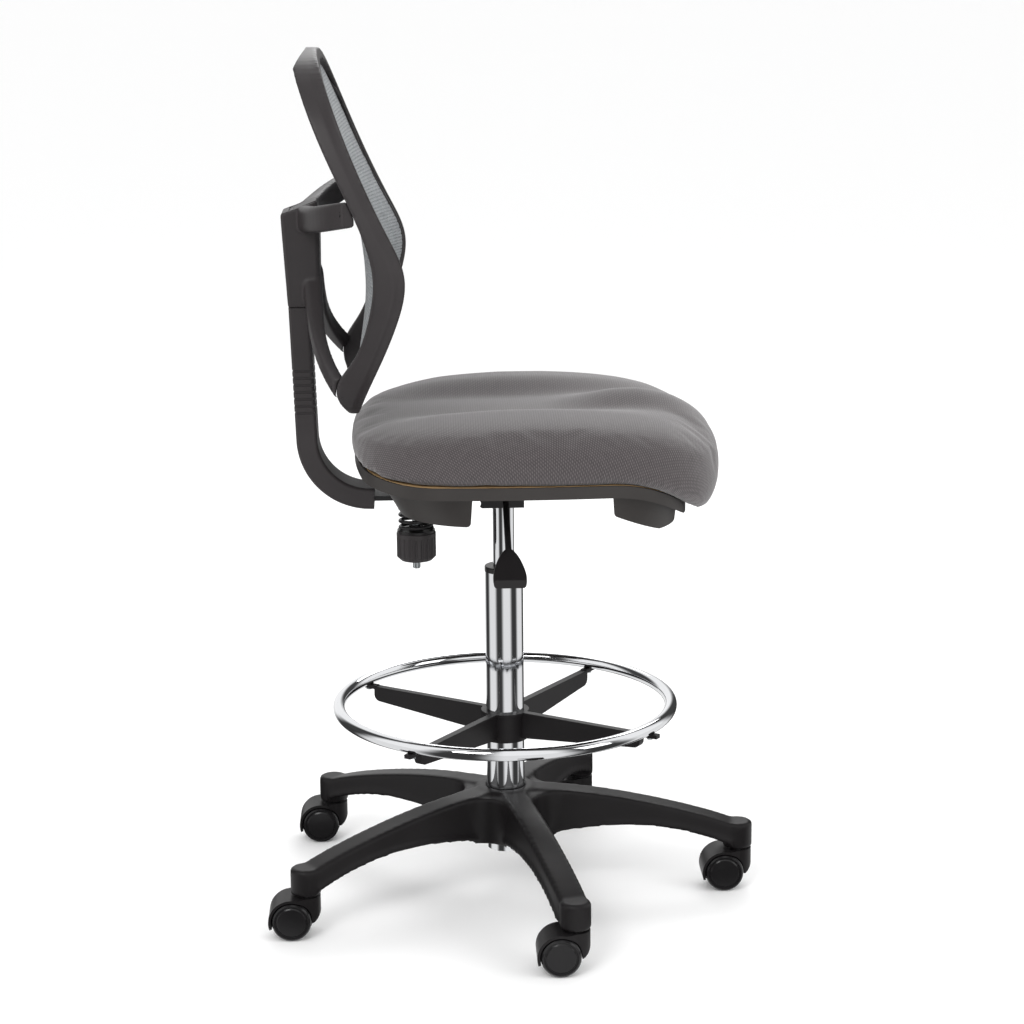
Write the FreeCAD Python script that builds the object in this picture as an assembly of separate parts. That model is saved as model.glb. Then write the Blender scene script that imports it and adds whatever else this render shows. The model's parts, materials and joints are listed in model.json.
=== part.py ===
"""Drafting chair: five-arm caster base, gas lift, foot ring, padded seat and tilting mesh back.

Frame: millimetres, +X is the chair's front, +Y its left, +Z up.
The origin is on the floor under the column's axis.
"""
import FreeCAD, Part
import math
import os

V = FreeCAD.Vector
UP = V(0, 0, 1)

# ------------------------------------------------------------------ driving dimensions
RUN = 0.05                    # radial running clearance of a shaft in its bore
GAP = 0.3                     # clearance between faces that move past each other

# casters
WHEEL_D = 50.0
WHEEL_WIDTH = 19.0
WHEEL_SIDE_GAP = 0.6          # wheel to the hood's middle web
HOOD_WALL = 3.3
HOOD_TREAD_GAP = 1.2
CASTER_TRAIL = 18.5           # stem axis to wheel axle
AXLE_D = 6.0
STEM_D = 11.0
STEM_GRIP = 24.0              # stem length held in the arm
STEM_SOCKET_WALL = 2.0
HOUSING_WALL = 13.0           # hood moulding outside the stem
CASTER_HEIGHT = 54.0          # top of the stem housing above the floor
CASTER_PLAY = 2.0             # housing top to the arm's boss

# five-arm base
ARM_COUNT = 5
ARM_FIRST_ANGLE = -4.0
STEM_CIRCLE_R = 306.9
ARM_TOP_WIDTH = 35.0
ARM_DRAFT = 3.0               # each side, from the top to the bottom edge
ARM_WALL = 4.0
ARM_LIP = 1.6                 # thickened bottom edge, proud of the side
ARM_LIP_HEIGHT = 7.0
BOSS_WALL = 14.0              # moulding outside the stem
BOSS_HEIGHT = 35.0
RIB_COUNT = 3                 # cross ribs inside each arm
RIB_THICKNESS = 3.0
RIB_HEIGHT = 30.0             # above the boss's underside
HUB_WALL = 15.0
HUB_BOTTOM = 69.0
HUB_TOP = 141.0

# column and gas lift
TUBE_D = 50.0
TUBE_WALL = 2.0
TUBE_BOTTOM = 55.0
TUBE_TOP = 433.0
TUBE_FLOOR = 5.0              # steel floor of the outer tube
COLLAR_HEIGHT = 7.0
BUSH_LENGTH = 93.0
CYLINDER_D = 28.0
CYLINDER_WALL = 2.0
CYLINDER_BOTTOM = 185.0
CYLINDER_TOP = 545.0
CYLINDER_TAPER_LENGTH = 28.0
CYLINDER_TAPER = 0.8          # loss of radius over the taper
SEAL_LENGTH = 18.0
ROD_D = 10.0
PISTON_Z = 395.0
PISTON_HEIGHT = 15.0
BEARING_HEIGHT = 8.0
VALVE_PIN_D = 8.0

# foot ring
RING_R = 218.0
RING_TUBE_D = 16.0
RING_Z = 253.0
SPIDER_HEIGHT = 39.0
SPIDER_WALL = 4.5
SPOKE_COUNT = 4
SPOKE_FIRST_ANGLE = -34.0
SPOKE_WIDTH = 11.0
SPOKE_ROOT_DEPTH = 35.0
SPOKE_END_DEPTH = 19.0
SPOKE_TAB = 24.0              # tab under the ring, past the spoke's end
TAB_DEPTH = 4.0
SMALL_SCREW_R = 2.0           # shank of the small screws
SMALL_HEAD_R = 4.0

# tilt mechanism
HOUSING_BOTTOM = 524.0
PLATE_TOP = 572.0
STEEL = 3.0                   # sheet thickness
BAR_SIDE_ROOM = 7.0           # bar edge to the side wall
HOUSING_FRONT = 26.0
HOUSING_REAR = -85.0
HOUSING_STEP_X = -27.0        # behind it the housing is shallow and open below
HOUSING_STEP = 11.0           # height of that step
PLATE_REAR = -132.0
PLATE_FRONT = 95.0
PLATE_HALF_WIDTH = 80.0
SOCKET_WALL = 5.0
BOLT_D = 6.0
BOLT_X = 75.0                 # half spacing of the four mechanism bolts
BOLT_Y = 60.0
PIVOT_X = -62.0
PIVOT_Z = 551.0
PIVOT_D = 10.0

# seat
SEAM_Z = 594.0                # flat middle of the line between shell and cushion
SEAM_REAR_X = -90.0           # where the line starts to rise towards the back
SEAM_FRONT_X = 125.0          # where it starts to fall towards the front
SEAM_SLOPE_X = 225.0          # where the falling arc turns into a straight slope
SEAM_REAR_R = 390.0
SEAM_FRONT_R = 135.0
BOARD_THICKNESS = 12.0
DECK_THICKNESS = 3.0
SHELL_WALL = 3.0
SKIRT_LEVEL = 520.0           # level at which the tapering skirt would end
SKIRT_REAR_INSET = 62.0
SKIRT_FRONT_INSET = 14.0
SKIRT_SIDE_INSET = 36.0
REAR_SKIRT_LOW = 539.0
REAR_SKIRT_END = -46.0        # its front edge, beside the armrest's place
FRONT_SKIRT_START = 129.0     # front skirt: rear lower corner
FRONT_SKIRT_STEP = 551.0
FRONT_SKIRT_LOW_X = 188.0     # and its lowest corner
FRONT_SKIRT_LOW = 524.0
SKIRT_ROUNDING = 6.0
SHELL_BOSS_R = 11.0
SHELL_SCREW_Y = 150.0
CUSHION_REAR = -198.0
CUSHION_FRONT = 272.0
CUSHION_HALF_WIDTH = 243.0
REAR_OVERHANG = 8.0           # cushion past the shell's rim
FRONT_OVERHANG = 40.0
SIDE_OVERHANG = 7.0
CUSHION_TOP = 661.0
SEAT_END_R = 900.0            # gentle bulge of the front and rear edges in plan
SEAT_SIDE_R = 1300.0          # and of the two sides
SEAT_CORNER_R = 105.0
ARMREST_HOLE_X = 42.0         # middle of each pair of armrest inserts
ARMREST_EDGE = 46.0           # each pair in from the shell's side
ARMREST_SPACING = 76.0

# lift lever
LEVER_D = 8.0
LEVER_Z = 556.0
LEVER_BEND_Y = -80.0
LEVER_SLOPE = 24.0            # degrees down from the bend outwards
PADDLE_START_Y = -196.0
PADDLE_END_Y = -249.0
PADDLE_WIDTH = 41.0
PADDLE_THICKNESS = 8.0

# tilt spring and knob
SCREW_X = -113.0
SCREW_D = 10.0
KNOB_D = 51.0
KNOB_BOTTOM = 450.0
KNOB_HEIGHT = 37.0
KNOB_FLUTES = 20
SPRING_D = 46.0
SPRING_WIRE = 4.6
SPRING_TURNS = 5.5
WASHER_HEIGHT = 3.0

# back bar
BAR_THICKNESS = 6.0
BAR_WIDTH = 50.0
BAR_Z = 537.0
BAR_FRONT_X = -36.0
BEND_X = -170.0
BEND_R = 80.0
LEAN = 1.8                    # degrees the upright leans back
BAR_TOP = 885.0
COVER_THICKNESS = 27.0
COVER_SIDE_WALL = 5.0
COVER_START_X = -166.0
COVER_TOP = 785.0
SLOT_PLAY = 8.0               # room for the screw in the bar's slot, along the bar
GROOVE_LOW = 649.0            # grooves across the cover's upright
GROOVE_COUNT = 7
GROOVE_STEP = 9.0
GROOVE_WIDTH = 3.2
GROOVE_DEPTH = 1.4
COVER_SCREW_DROPS = (20.0, 55.0)   # screws below the cover's top

# backrest
RAIL_WIDTH = 15.0
MESH_THICKNESS = 2.0
TRIM_WIDTH = 5.0
TRIM_DEPTH = 6.0
MESH_SETBACK = 3.0            # mesh edge behind the rail's front
MESH_FLUSH_Y = 198.0          # half width at which the mesh reaches that setback

# ------------------------------------------------------------------ worked-out values
WHEEL_R = WHEEL_D / 2
SHELL_REAR = CUSHION_REAR + REAR_OVERHANG
SHELL_FRONT = CUSHION_FRONT - FRONT_OVERHANG
SHELL_HALF_WIDTH = CUSHION_HALF_WIDTH - SIDE_OVERHANG
COVER_WIDTH = BAR_WIDTH + 2 * COVER_SIDE_WALL
BRACKET_HALF_WIDTH = BAR_WIDTH / 2 + COVER_SIDE_WALL
HOUSING_HALF_WIDTH = BAR_WIDTH / 2 + BAR_SIDE_ROOM + STEEL
POCKET_R = WHEEL_R + HOOD_TREAD_GAP
HOOD_R = POCKET_R + HOOD_WALL
HOOD_WEB = STEM_D               # middle web between the twin wheels
WHEEL_INNER_Y = HOOD_WEB / 2 + WHEEL_SIDE_GAP
WHEEL_OUTER_Y = WHEEL_INNER_Y + WHEEL_WIDTH
BOSS_BOTTOM = CASTER_HEIGHT + CASTER_PLAY
BOSS_R = STEM_D / 2 + BOSS_WALL
HOUSING_R = STEM_D / 2 + HOUSING_WALL
TUBE_R = TUBE_D / 2
HUB_R = TUBE_R + HUB_WALL
TUBE_BORE_R = TUBE_R - TUBE_WALL
CYLINDER_R = CYLINDER_D / 2
SOCKET_R = CYLINDER_R + SOCKET_WALL
CYLINDER_BORE_R = CYLINDER_R - CYLINDER_WALL
ROD_R = ROD_D / 2
SPIDER_TOP = RING_Z - RING_TUBE_D / 2
SPIDER_BOTTOM = SPIDER_TOP - SPIDER_HEIGHT
ARMREST_HOLE_Y = SHELL_HALF_WIDTH - ARMREST_EDGE
DECK_TOP = SEAM_Z - BOARD_THICKNESS
DECK_BOTTOM = DECK_TOP - DECK_THICKNESS
LEVER_R = LEVER_D / 2
LEVER_PIVOT_Y = -HOUSING_HALF_WIDTH + STEEL / 2
SCREW_R = SCREW_D / 2
KNOB_TOP = KNOB_BOTTOM + KNOB_HEIGHT
SPRING_LOW = KNOB_TOP + WASHER_HEIGHT
SPRING_HIGH = BAR_Z - BAR_THICKNESS / 2


# ------------------------------------------------------------------ shape helpers
def vertical(radius, z0, z1, x=0.0, y=0.0):
    """A round bar along Z."""
    return Part.makeCylinder(radius, z1 - z0, V(x, y, z0))


def ring(outer, inner, z0, z1, x=0.0, y=0.0):
    """A tube along Z."""
    return vertical(outer, z0, z1, x, y).cut(vertical(inner, z0 - 1, z1 + 1, x, y))


def crosswise(radius, y0, y1, x, z):
    """A round bar along Y."""
    return Part.makeCylinder(radius, y1 - y0, V(x, y0, z), V(0, 1, 0))


def block(x0, x1, y0, y1, z0, z1):
    return Part.makeBox(x1 - x0, y1 - y0, z1 - z0, V(x0, y0, z0))


def bar_between(radius, start, end):
    way = end - start
    return Part.makeCylinder(radius, way.Length, start, way)


def fuse(shapes):
    first, *rest = shapes
    return first.multiFuse(rest).removeSplitter() if rest else first


def turned(shape, degrees, about=V(0, 0, 0), axis=UP):
    copy = shape.copy()
    copy.rotate(about, axis, degrees)
    return copy


def mirrored_y(shape):
    return shape.mirror(V(0, 0, 0), V(0, 1, 0))


def smooth_edge(points):
    curve = Part.BSplineCurve()
    curve.interpolate(points)
    return curve.toShape()


def smooth_loop(points):
    curve = Part.BSplineCurve()
    curve.interpolate(points, PeriodicFlag=True)
    return Part.Wire([curve.toShape()])


def side_prism(edges, half_width):
    """The XZ outline made by the edges, carried from -half_width to +half_width in Y."""
    face = Part.Face(Part.Wire(Part.__sortEdges__(edges)))
    face.translate(V(0, -half_width, 0))
    return face.extrude(V(0, 2 * half_width, 0))


def side_polygon(points, half_width):
    corners = [V(x, 0, z) for x, z in points]
    return side_prism(Part.makePolygon(corners + corners[:1]).Edges, half_width)


def hexagon(across_flats, z0, z1, x=0.0, y=0.0):
    corner = across_flats / math.sqrt(3)
    turns = [math.radians(60 * step) for step in range(7)]
    points = [V(x + corner * math.cos(t), y + corner * math.sin(t), z0) for t in turns]
    return Part.Face(Part.makePolygon(points)).extrude(V(0, 0, z1 - z0))


def rounded(shape, radius, wanted):
    """Fillet the edges for which wanted(edge) is true."""
    return shape.makeFillet(radius, [edge for edge in shape.Edges if wanted(edge)])


def rounded_section(y, x, z, depth, height, corner):
    """Rectangle with rounded corners in the plane at y."""
    inset = corner * (1 - math.sqrt(0.5))
    points = []
    for number, (sx, sz) in enumerate([(1, 1), (-1, 1), (-1, -1), (1, -1)]):
        edge_x, edge_z = x + sx * depth / 2, z + sz * height / 2
        upright = V(edge_x, y, edge_z - sz * corner)
        flat = V(edge_x - sx * corner, y, edge_z)
        middle = V(edge_x - sx * inset, y, edge_z - sz * inset)
        points.append((upright, middle, flat) if number % 2 == 0 else (flat, middle, upright))
    edges = []
    for number, (start, middle, end) in enumerate(points):
        edges.append(Part.Arc(start, middle, end).toShape())
        edges.append(Part.LineSegment(end, points[(number + 1) % 4][0]).toShape())
    return Part.Wire(edges)


def runs_along(edge, direction):
    if edge.Curve.TypeId != "Part::GeomLine":
        return False
    return abs(edge.tangentAt(edge.FirstParameter).dot(direction)) > 0.999


# ------------------------------------------------------------------ casters
def caster_places():
    """Angle and stem position of each arm's caster."""
    for number in range(ARM_COUNT):
        angle = ARM_FIRST_ANGLE + 360.0 / ARM_COUNT * number
        turn = math.radians(angle)
        yield number + 1, V(STEM_CIRCLE_R * math.cos(turn), STEM_CIRCLE_R * math.sin(turn), 0)


def hood_side():
    """Side outline of the hood: arch over the wheel and housing about the stem."""
    low = math.radians(-18.0)
    tip = math.radians(-7.0)
    meet_x = math.sqrt(HOOD_R**2 - (CASTER_HEIGHT - WHEEL_R) ** 2)
    front = CASTER_TRAIL + HOUSING_R

    def on_circle(radius, angle):
        return V(radius * math.cos(angle), 0, WHEEL_R + radius * math.sin(angle))

    back_low = math.pi - low
    arch_start = on_circle(HOOD_R, back_low)
    arch_top = V(meet_x, 0, CASTER_HEIGHT)
    back = on_circle(HOOD_R, 0.75 * math.pi)
    inner_start = on_circle(POCKET_R, back_low)
    inner_end = on_circle(POCKET_R, tip)
    corner = V(front, 0, CASTER_HEIGHT)
    side_low = V(front, 0, WHEEL_R + 9.0)
    tip_low = on_circle(POCKET_R + 2.0, tip)
    side_mid = V(front - 3.0, 0, WHEEL_R + 2.0)
    return [
        Part.Arc(arch_start, back, arch_top).toShape(),
        Part.LineSegment(arch_top, corner).toShape(),
        Part.LineSegment(corner, side_low).toShape(),
        Part.Arc(side_low, side_mid, tip_low).toShape(),
        Part.LineSegment(tip_low, inner_end).toShape(),
        Part.Arc(inner_end, on_circle(POCKET_R, math.pi / 2), inner_start).toShape(),
        Part.LineSegment(inner_start, arch_start).toShape(),
    ]


def caster_hood():
    """Hood about its wheel axle, which lies along Y through the frame's origin."""
    half = WHEEL_OUTER_Y - 1.2
    neck = CASTER_TRAIL * 0.5
    reach = CASTER_TRAIL + HOUSING_R
    near = math.sqrt(HOUSING_R**2 - 4.0)
    plan = Part.Wire(
        [
            Part.LineSegment(V(-HOOD_R - 1, -half, 0), V(neck, -half, 0)).toShape(),
            Part.LineSegment(V(neck, -half, 0), V(CASTER_TRAIL + 2, -near, 0)).toShape(),
            Part.Arc(
                V(CASTER_TRAIL + 2, -near, 0), V(reach, 0, 0), V(CASTER_TRAIL + 2, near, 0)
            ).toShape(),
            Part.LineSegment(V(CASTER_TRAIL + 2, near, 0), V(neck, half, 0)).toShape(),
            Part.LineSegment(V(neck, half, 0), V(-HOOD_R - 1, half, 0)).toShape(),
            Part.LineSegment(V(-HOOD_R - 1, half, 0), V(-HOOD_R - 1, -half, 0)).toShape(),
        ]
    )
    column = Part.Face(plan).extrude(V(0, 0, CASTER_HEIGHT + 2))
    shell = side_prism(hood_side(), half).common(column)
    web = crosswise(POCKET_R + 0.5, -HOOD_WEB / 2, HOOD_WEB / 2, 0, WHEEL_R)
    web = web.common(block(-HOOD_R, HOOD_R, -half, half, WHEEL_R * 0.45, CASTER_HEIGHT))
    hood = fuse([shell, web])
    stem_hole = vertical(STEM_D / 2, CASTER_HEIGHT - 18.0, CASTER_HEIGHT + 1, CASTER_TRAIL)
    axle_hole = crosswise(AXLE_D / 2, -half, half, 0, WHEEL_R)
    return hood.cut(stem_hole).cut(axle_hole)


def caster_stem():
    """Stem with its shoulder washer, which the arm's boss rests on."""
    shank = vertical(STEM_D / 2, CASTER_HEIGHT - 18.0, BOSS_BOTTOM + STEM_GRIP, CASTER_TRAIL)
    shank = shank.makeChamfer(1.5, [edge for edge in shank.Edges
                                    if edge.BoundBox.ZMin > BOSS_BOTTOM])
    washer = vertical(STEM_D / 2 + 4.0, CASTER_HEIGHT, BOSS_BOTTOM - GAP, CASTER_TRAIL)
    return fuse([shank, washer])


def caster_axle():
    return crosswise(AXLE_D / 2, -WHEEL_OUTER_Y + 3.0, WHEEL_OUTER_Y - 3.0, 0, WHEEL_R)


def caster_wheel():
    """One wheel: rounded tread, rim ring and a shallow disc face, turned about Y."""
    inner, outer = WHEEL_INNER_Y, WHEEL_OUTER_Y
    bore = AXLE_D / 2 + RUN
    rim = WHEEL_R - 4.0
    profile = [
        (bore, inner), (WHEEL_R - 2.5, inner), (WHEEL_R - 0.6, inner + 1.0),
        (WHEEL_R, inner + 3.5), (WHEEL_R, outer - 4.0), (WHEEL_R - 1.0, outer - 1.6),
        (WHEEL_R - 2.6, outer), (rim, outer - 0.2), (rim - 0.8, outer - 1.4),
        (rim - 1.6, outer - 1.4), (rim - 3.2, outer - 0.4), (6.0, outer), (0, outer),
        (0, outer - 2.5), (bore, outer - 2.5),
    ]
    points = [V(r, y, WHEEL_R) for r, y in profile]
    face = Part.Face(Part.makePolygon(points + points[:1]))
    return face.revolve(V(0, 0, WHEEL_R), V(0, 1, 0), 360)


def caster_parts():
    """Nodes of all five casters, each trailing towards the chair's back."""
    wheel = caster_wheel()
    wheels = Part.makeCompound([wheel, mirrored_y(wheel)])
    kinds = {
        "caster_hood": caster_hood(), "caster_stem": caster_stem(),
        "caster_axle": caster_axle(), "caster_wheels": wheels,
    }
    nodes = {}
    for number, stem in caster_places():
        for kind, shape in kinds.items():
            placed = shape.copy()
            placed.translate(V(stem.x - CASTER_TRAIL, stem.y, 0))
            nodes[f"{kind}_{number}"] = placed
    return nodes


# ------------------------------------------------------------------ base
def arm_section(radius, half_top, half_bottom, z_top, z_bottom, corner):
    """Closed section of an arm at a distance from the column: flat top, leaning sides."""
    def at(y, z):
        return V(radius, y, z)

    lean = (half_bottom - half_top) / (z_top - z_bottom)
    side_y = half_top + lean * corner
    bulge = 0.29 * corner
    right = [at(side_y, z_top - corner), at(half_top - bulge + lean * bulge, z_top - bulge),
             at(half_top - corner, z_top)]
    left = [at(-p.y, p.z) for p in reversed(right)]
    return Part.Wire(
        [
            Part.LineSegment(at(-half_bottom, z_bottom), at(half_bottom, z_bottom)).toShape(),
            Part.LineSegment(at(half_bottom, z_bottom), right[0]).toShape(),
            Part.Arc(*right).toShape(),
            Part.LineSegment(right[2], left[0]).toShape(),
            Part.Arc(*left).toShape(),
            Part.LineSegment(left[2], at(-half_bottom, z_bottom)).toShape(),
        ]
    )


def arm_stations():
    """Distance from the column, top and bottom of the arm, from the hub to the boss."""
    tip = STEM_CIRCLE_R - 8.0
    boss_top = BOSS_BOTTOM + BOSS_HEIGHT
    return [
        (0.07 * tip, HUB_TOP, HUB_BOTTOM + 2), (0.30 * tip, HUB_TOP - 5, HUB_BOTTOM + 15),
        (0.52 * tip, HUB_TOP - 14, HUB_BOTTOM + 21), (0.76 * tip, HUB_TOP - 29, HUB_BOTTOM + 15),
        (0.91 * tip, boss_top + 9, BOSS_BOTTOM + 16), (tip, boss_top, BOSS_BOTTOM + 6),
    ]


def arm_loft(narrower=0.0, lower=0.0, deeper=0.0, first=0, height=None, shift=0.0):
    """The arm's solid, or a smaller or shallower copy of it."""
    wires = []
    for station, (radius, z_top, z_bottom) in enumerate(arm_stations()):
        half_top = ARM_TOP_WIDTH / 2 - narrower
        half_bottom = half_top + ARM_DRAFT
        top = z_top - lower if height is None else z_bottom + height
        if height is not None:
            half_top = half_bottom
        if station >= first:
            wires.append(
                arm_section(radius + shift, half_top, half_bottom, top, z_bottom - deeper, 3.0)
            )
    return Part.makeLoft(wires, True, False)


def base_star():
    """Moulded nylon base: five hollow arms, lipped bottom edges, hub and caster bosses."""
    arm = fuse([arm_loft(), arm_loft(narrower=-ARM_LIP, height=ARM_LIP_HEIGHT)])
    boss_top = BOSS_BOTTOM + BOSS_HEIGHT
    boss = vertical(BOSS_R, BOSS_BOTTOM, boss_top, STEM_CIRCLE_R)
    boss = rounded(boss, 3.5, lambda edge: edge.BoundBox.ZMin > boss_top - 1
                   and edge.BoundBox.XLength > BOSS_R)
    cavity = arm_loft(narrower=ARM_WALL, lower=ARM_WALL, deeper=12.0, first=1, shift=-30.0)
    cavity = cavity.cut(vertical(BOSS_R - 2, 0, boss_top + 9, STEM_CIRCLE_R))
    cavity = cavity.cut(vertical(HUB_R + 1, 0, HUB_TOP + 9))
    bay = (STEM_CIRCLE_R - BOSS_R - HUB_R) / (RIB_COUNT + 1)
    for number in range(1, RIB_COUNT + 1):
        rib_x = HUB_R + bay * number
        cavity = cavity.cut(block(rib_x, rib_x + RIB_THICKNESS, -ARM_TOP_WIDTH, ARM_TOP_WIDTH,
                                  BOSS_BOTTOM + RIB_HEIGHT, HUB_TOP))
    hub = Part.makeCone(HUB_R + 1, HUB_R - 1, HUB_TOP - HUB_BOTTOM, V(0, 0, HUB_BOTTOM))
    hub = rounded(hub, 4.0, lambda edge: edge.BoundBox.ZMin > HUB_TOP - 1)
    relief = ring(HUB_R - 5, TUBE_R + 4, HUB_BOTTOM - 1, HUB_TOP - 12)

    pieces = [hub]
    cuts = [relief, vertical(TUBE_R, 0, HUB_TOP + 9)]
    socket_r = STEM_D / 2 + RUN + STEM_SOCKET_WALL
    socket = vertical(socket_r, BOSS_BOTTOM - 1, BOSS_BOTTOM + STEM_GRIP + 2, STEM_CIRCLE_R)
    for number in range(ARM_COUNT):
        angle = ARM_FIRST_ANGLE + 360.0 / ARM_COUNT * number
        pieces += [turned(arm, angle), turned(boss, angle)]
        cuts += [turned(cavity, angle), turned(socket, angle)]
    return fuse(pieces).cut(fuse(cuts))


def stem_sockets():
    """Five steel grip sockets pressed into the bosses."""
    bore = STEM_D / 2 + RUN
    return Part.makeCompound(
        [ring(bore + STEM_SOCKET_WALL, bore, BOSS_BOTTOM, BOSS_BOTTOM + STEM_GRIP + 2, p.x, p.y)
         for _, p in caster_places()]
    )


# ------------------------------------------------------------------ column and gas lift
def column_tube():
    tube = vertical(TUBE_R, TUBE_BOTTOM, TUBE_TOP)
    tube = tube.cut(vertical(TUBE_BORE_R, TUBE_BOTTOM + TUBE_FLOOR, TUBE_TOP + 1))
    return tube.cut(vertical(ROD_R + RUN, TUBE_BOTTOM - 1, TUBE_BOTTOM + TUBE_FLOOR + 1))


def guide_bush():
    """Plastic bush with the black collar that closes the outer tube."""
    collar = vertical(TUBE_R, TUBE_TOP, TUBE_TOP + COLLAR_HEIGHT)
    collar = rounded(collar, 1.5, lambda edge: edge.BoundBox.ZMin > TUBE_TOP + 1
                     and edge.BoundBox.XLength > TUBE_R)
    sleeve = vertical(TUBE_BORE_R, TUBE_TOP - BUSH_LENGTH, TUBE_TOP)
    bore = vertical(CYLINDER_R + RUN, TUBE_TOP - BUSH_LENGTH - 1, TUBE_TOP + COLLAR_HEIGHT + 1)
    return fuse([collar, sleeve]).cut(bore)


def thrust_bearing():
    """Lower washer, ball ring and upper washer on the tube's floor."""
    low = TUBE_BOTTOM + TUBE_FLOOR
    bore = ROD_R + 0.5
    step = BEARING_HEIGHT / 4
    lower = ring(13.0, bore, low, low + step)
    balls = ring(11.5, bore + 1.5, low + step, low + 3 * step)
    upper = ring(13.0, bore, low + 3 * step, low + BEARING_HEIGHT)
    return Part.makeCompound([lower, balls, upper])


def piston_rod():
    """Rod with the collar that rests on the thrust bearing and the piston at its top."""
    seat = TUBE_BOTTOM + TUBE_FLOOR + BEARING_HEIGHT + GAP
    shank = vertical(ROD_R, TUBE_BOTTOM - 5.0, PISTON_Z + 5)
    collar = vertical(ROD_R + 3.0, seat, seat + 4.0)
    piston = vertical(CYLINDER_BORE_R - RUN, PISTON_Z, PISTON_Z + PISTON_HEIGHT)
    groove = ring(CYLINDER_BORE_R + 1, CYLINDER_BORE_R - 2, PISTON_Z + 6, PISTON_Z + 9)
    return fuse([shank, collar, piston]).cut(groove)


def rod_clip():
    """Spring clip under the tube's floor, which keeps the rod from lifting out."""
    top = TUBE_BOTTOM - GAP
    clip = ring(ROD_R + 4.0, ROD_R, top - 2.0, top)
    return clip.cut(block(0, ROD_R + 9, -1.5, 1.5, top - 3, top + 1))


def gas_cylinder():
    """Pressure tube with its tapered top and the bore of the release pin."""
    shoulder = CYLINDER_TOP - CYLINDER_TAPER_LENGTH
    body = vertical(CYLINDER_R, CYLINDER_BOTTOM, shoulder)
    cone = Part.makeCone(CYLINDER_R, CYLINDER_R - CYLINDER_TAPER, CYLINDER_TAPER_LENGTH,
                         V(0, 0, shoulder))
    chamber = vertical(CYLINDER_BORE_R, CYLINDER_BOTTOM - 1, shoulder - 7.0)
    pin_bore = vertical(VALVE_PIN_D / 2 + RUN, CYLINDER_TOP - 24.0, CYLINDER_TOP + 1)
    return fuse([body, cone]).cut(chamber).cut(pin_bore)


def cylinder_seal():
    return ring(CYLINDER_BORE_R, ROD_R + RUN, CYLINDER_BOTTOM, CYLINDER_BOTTOM + SEAL_LENGTH)


def release_pin():
    """Pin in the cylinder's top, a little below the lever that presses it."""
    top = LEVER_Z - LEVER_R - 0.5
    pin = vertical(VALVE_PIN_D / 2, CYLINDER_TOP - 18.0, top)
    return rounded(pin, 1.0, lambda edge: edge.BoundBox.ZMin > top - 0.1
                   and edge.BoundBox.XLength > 1)


# ------------------------------------------------------------------ foot ring
def foot_ring():
    return Part.makeTorus(RING_R, RING_TUBE_D / 2, V(0, 0, RING_Z))


def spoke_angles():
    return [SPOKE_FIRST_ANGLE + 360.0 / SPOKE_COUNT * step for step in range(SPOKE_COUNT)]


def ring_spider():
    """Collar round the column, with one deep spoke and ring tab per quarter."""
    bore = TUBE_R + RUN
    outer = bore + SPIDER_WALL
    end = RING_R - RING_TUBE_D / 2 - 4.0
    root = outer - 2.0
    outline = side_polygon(
        [(root, SPIDER_TOP), (end, SPIDER_TOP), (end, SPIDER_TOP - SPOKE_END_DEPTH),
         (root, SPIDER_TOP - SPOKE_ROOT_DEPTH)], SPOKE_WIDTH / 2)
    spoke = rounded(outline, 9.0, lambda edge: runs_along(edge, V(0, 1, 0))
                    and edge.BoundBox.XMin > end - 1 and edge.BoundBox.ZMax < SPIDER_TOP - 5)
    spoke = rounded(spoke, 1.2, lambda edge: edge.BoundBox.ZMin > SPIDER_TOP - 0.1
                    and runs_along(edge, V(1, 0, 0)))
    tab = block(end - 2, end + SPOKE_TAB, -SPOKE_WIDTH / 2 + 1, SPOKE_WIDTH / 2 - 1,
                SPIDER_TOP - TAB_DEPTH, SPIDER_TOP + 1.0)
    collar = vertical(outer, SPIDER_BOTTOM, SPIDER_TOP)
    lip = vertical(outer + 2.0, SPIDER_TOP - 4.0, SPIDER_TOP)
    arms = [turned(fuse([spoke, tab]), angle) for angle in spoke_angles()]
    screw_holes = [turned(vertical(SMALL_SCREW_R, SPIDER_TOP - 9, SPIDER_TOP + 9, RING_R), angle)
                   for angle in spoke_angles()]
    solid = fuse([collar, lip] + arms)
    return solid.cut(vertical(bore, 0, TUBE_TOP)).cut(foot_ring()).cut(fuse(screw_holes))


def ring_screws():
    """One screw per tab, from below up to the ring."""
    low = SPIDER_TOP - TAB_DEPTH
    shank = vertical(SMALL_SCREW_R, low - 2.2, SPIDER_TOP)
    screw = fuse([vertical(SMALL_HEAD_R, low - 2.2, low), shank])
    screw = screw.cut(hexagon(2.5, low - 3, low - 1))
    screw.translate(V(RING_R, 0, 0))
    return Part.makeCompound([turned(screw, angle) for angle in spoke_angles()])


# ------------------------------------------------------------------ seat
def seam_height(x):
    """Height of the line between shell and cushion: flat, an arc at each end, a slope in front."""
    if x < SEAM_REAR_X:
        return SEAM_Z + SEAM_REAR_R - math.sqrt(SEAM_REAR_R**2 - (x - SEAM_REAR_X) ** 2)
    if x > SEAM_FRONT_X:
        reach = min(x, SEAM_SLOPE_X) - SEAM_FRONT_X
        rise = math.sqrt(SEAM_FRONT_R**2 - reach**2)
        return SEAM_Z - SEAM_FRONT_R + rise - max(x - SEAM_SLOPE_X, 0.0) * reach / rise
    return SEAM_Z


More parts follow.
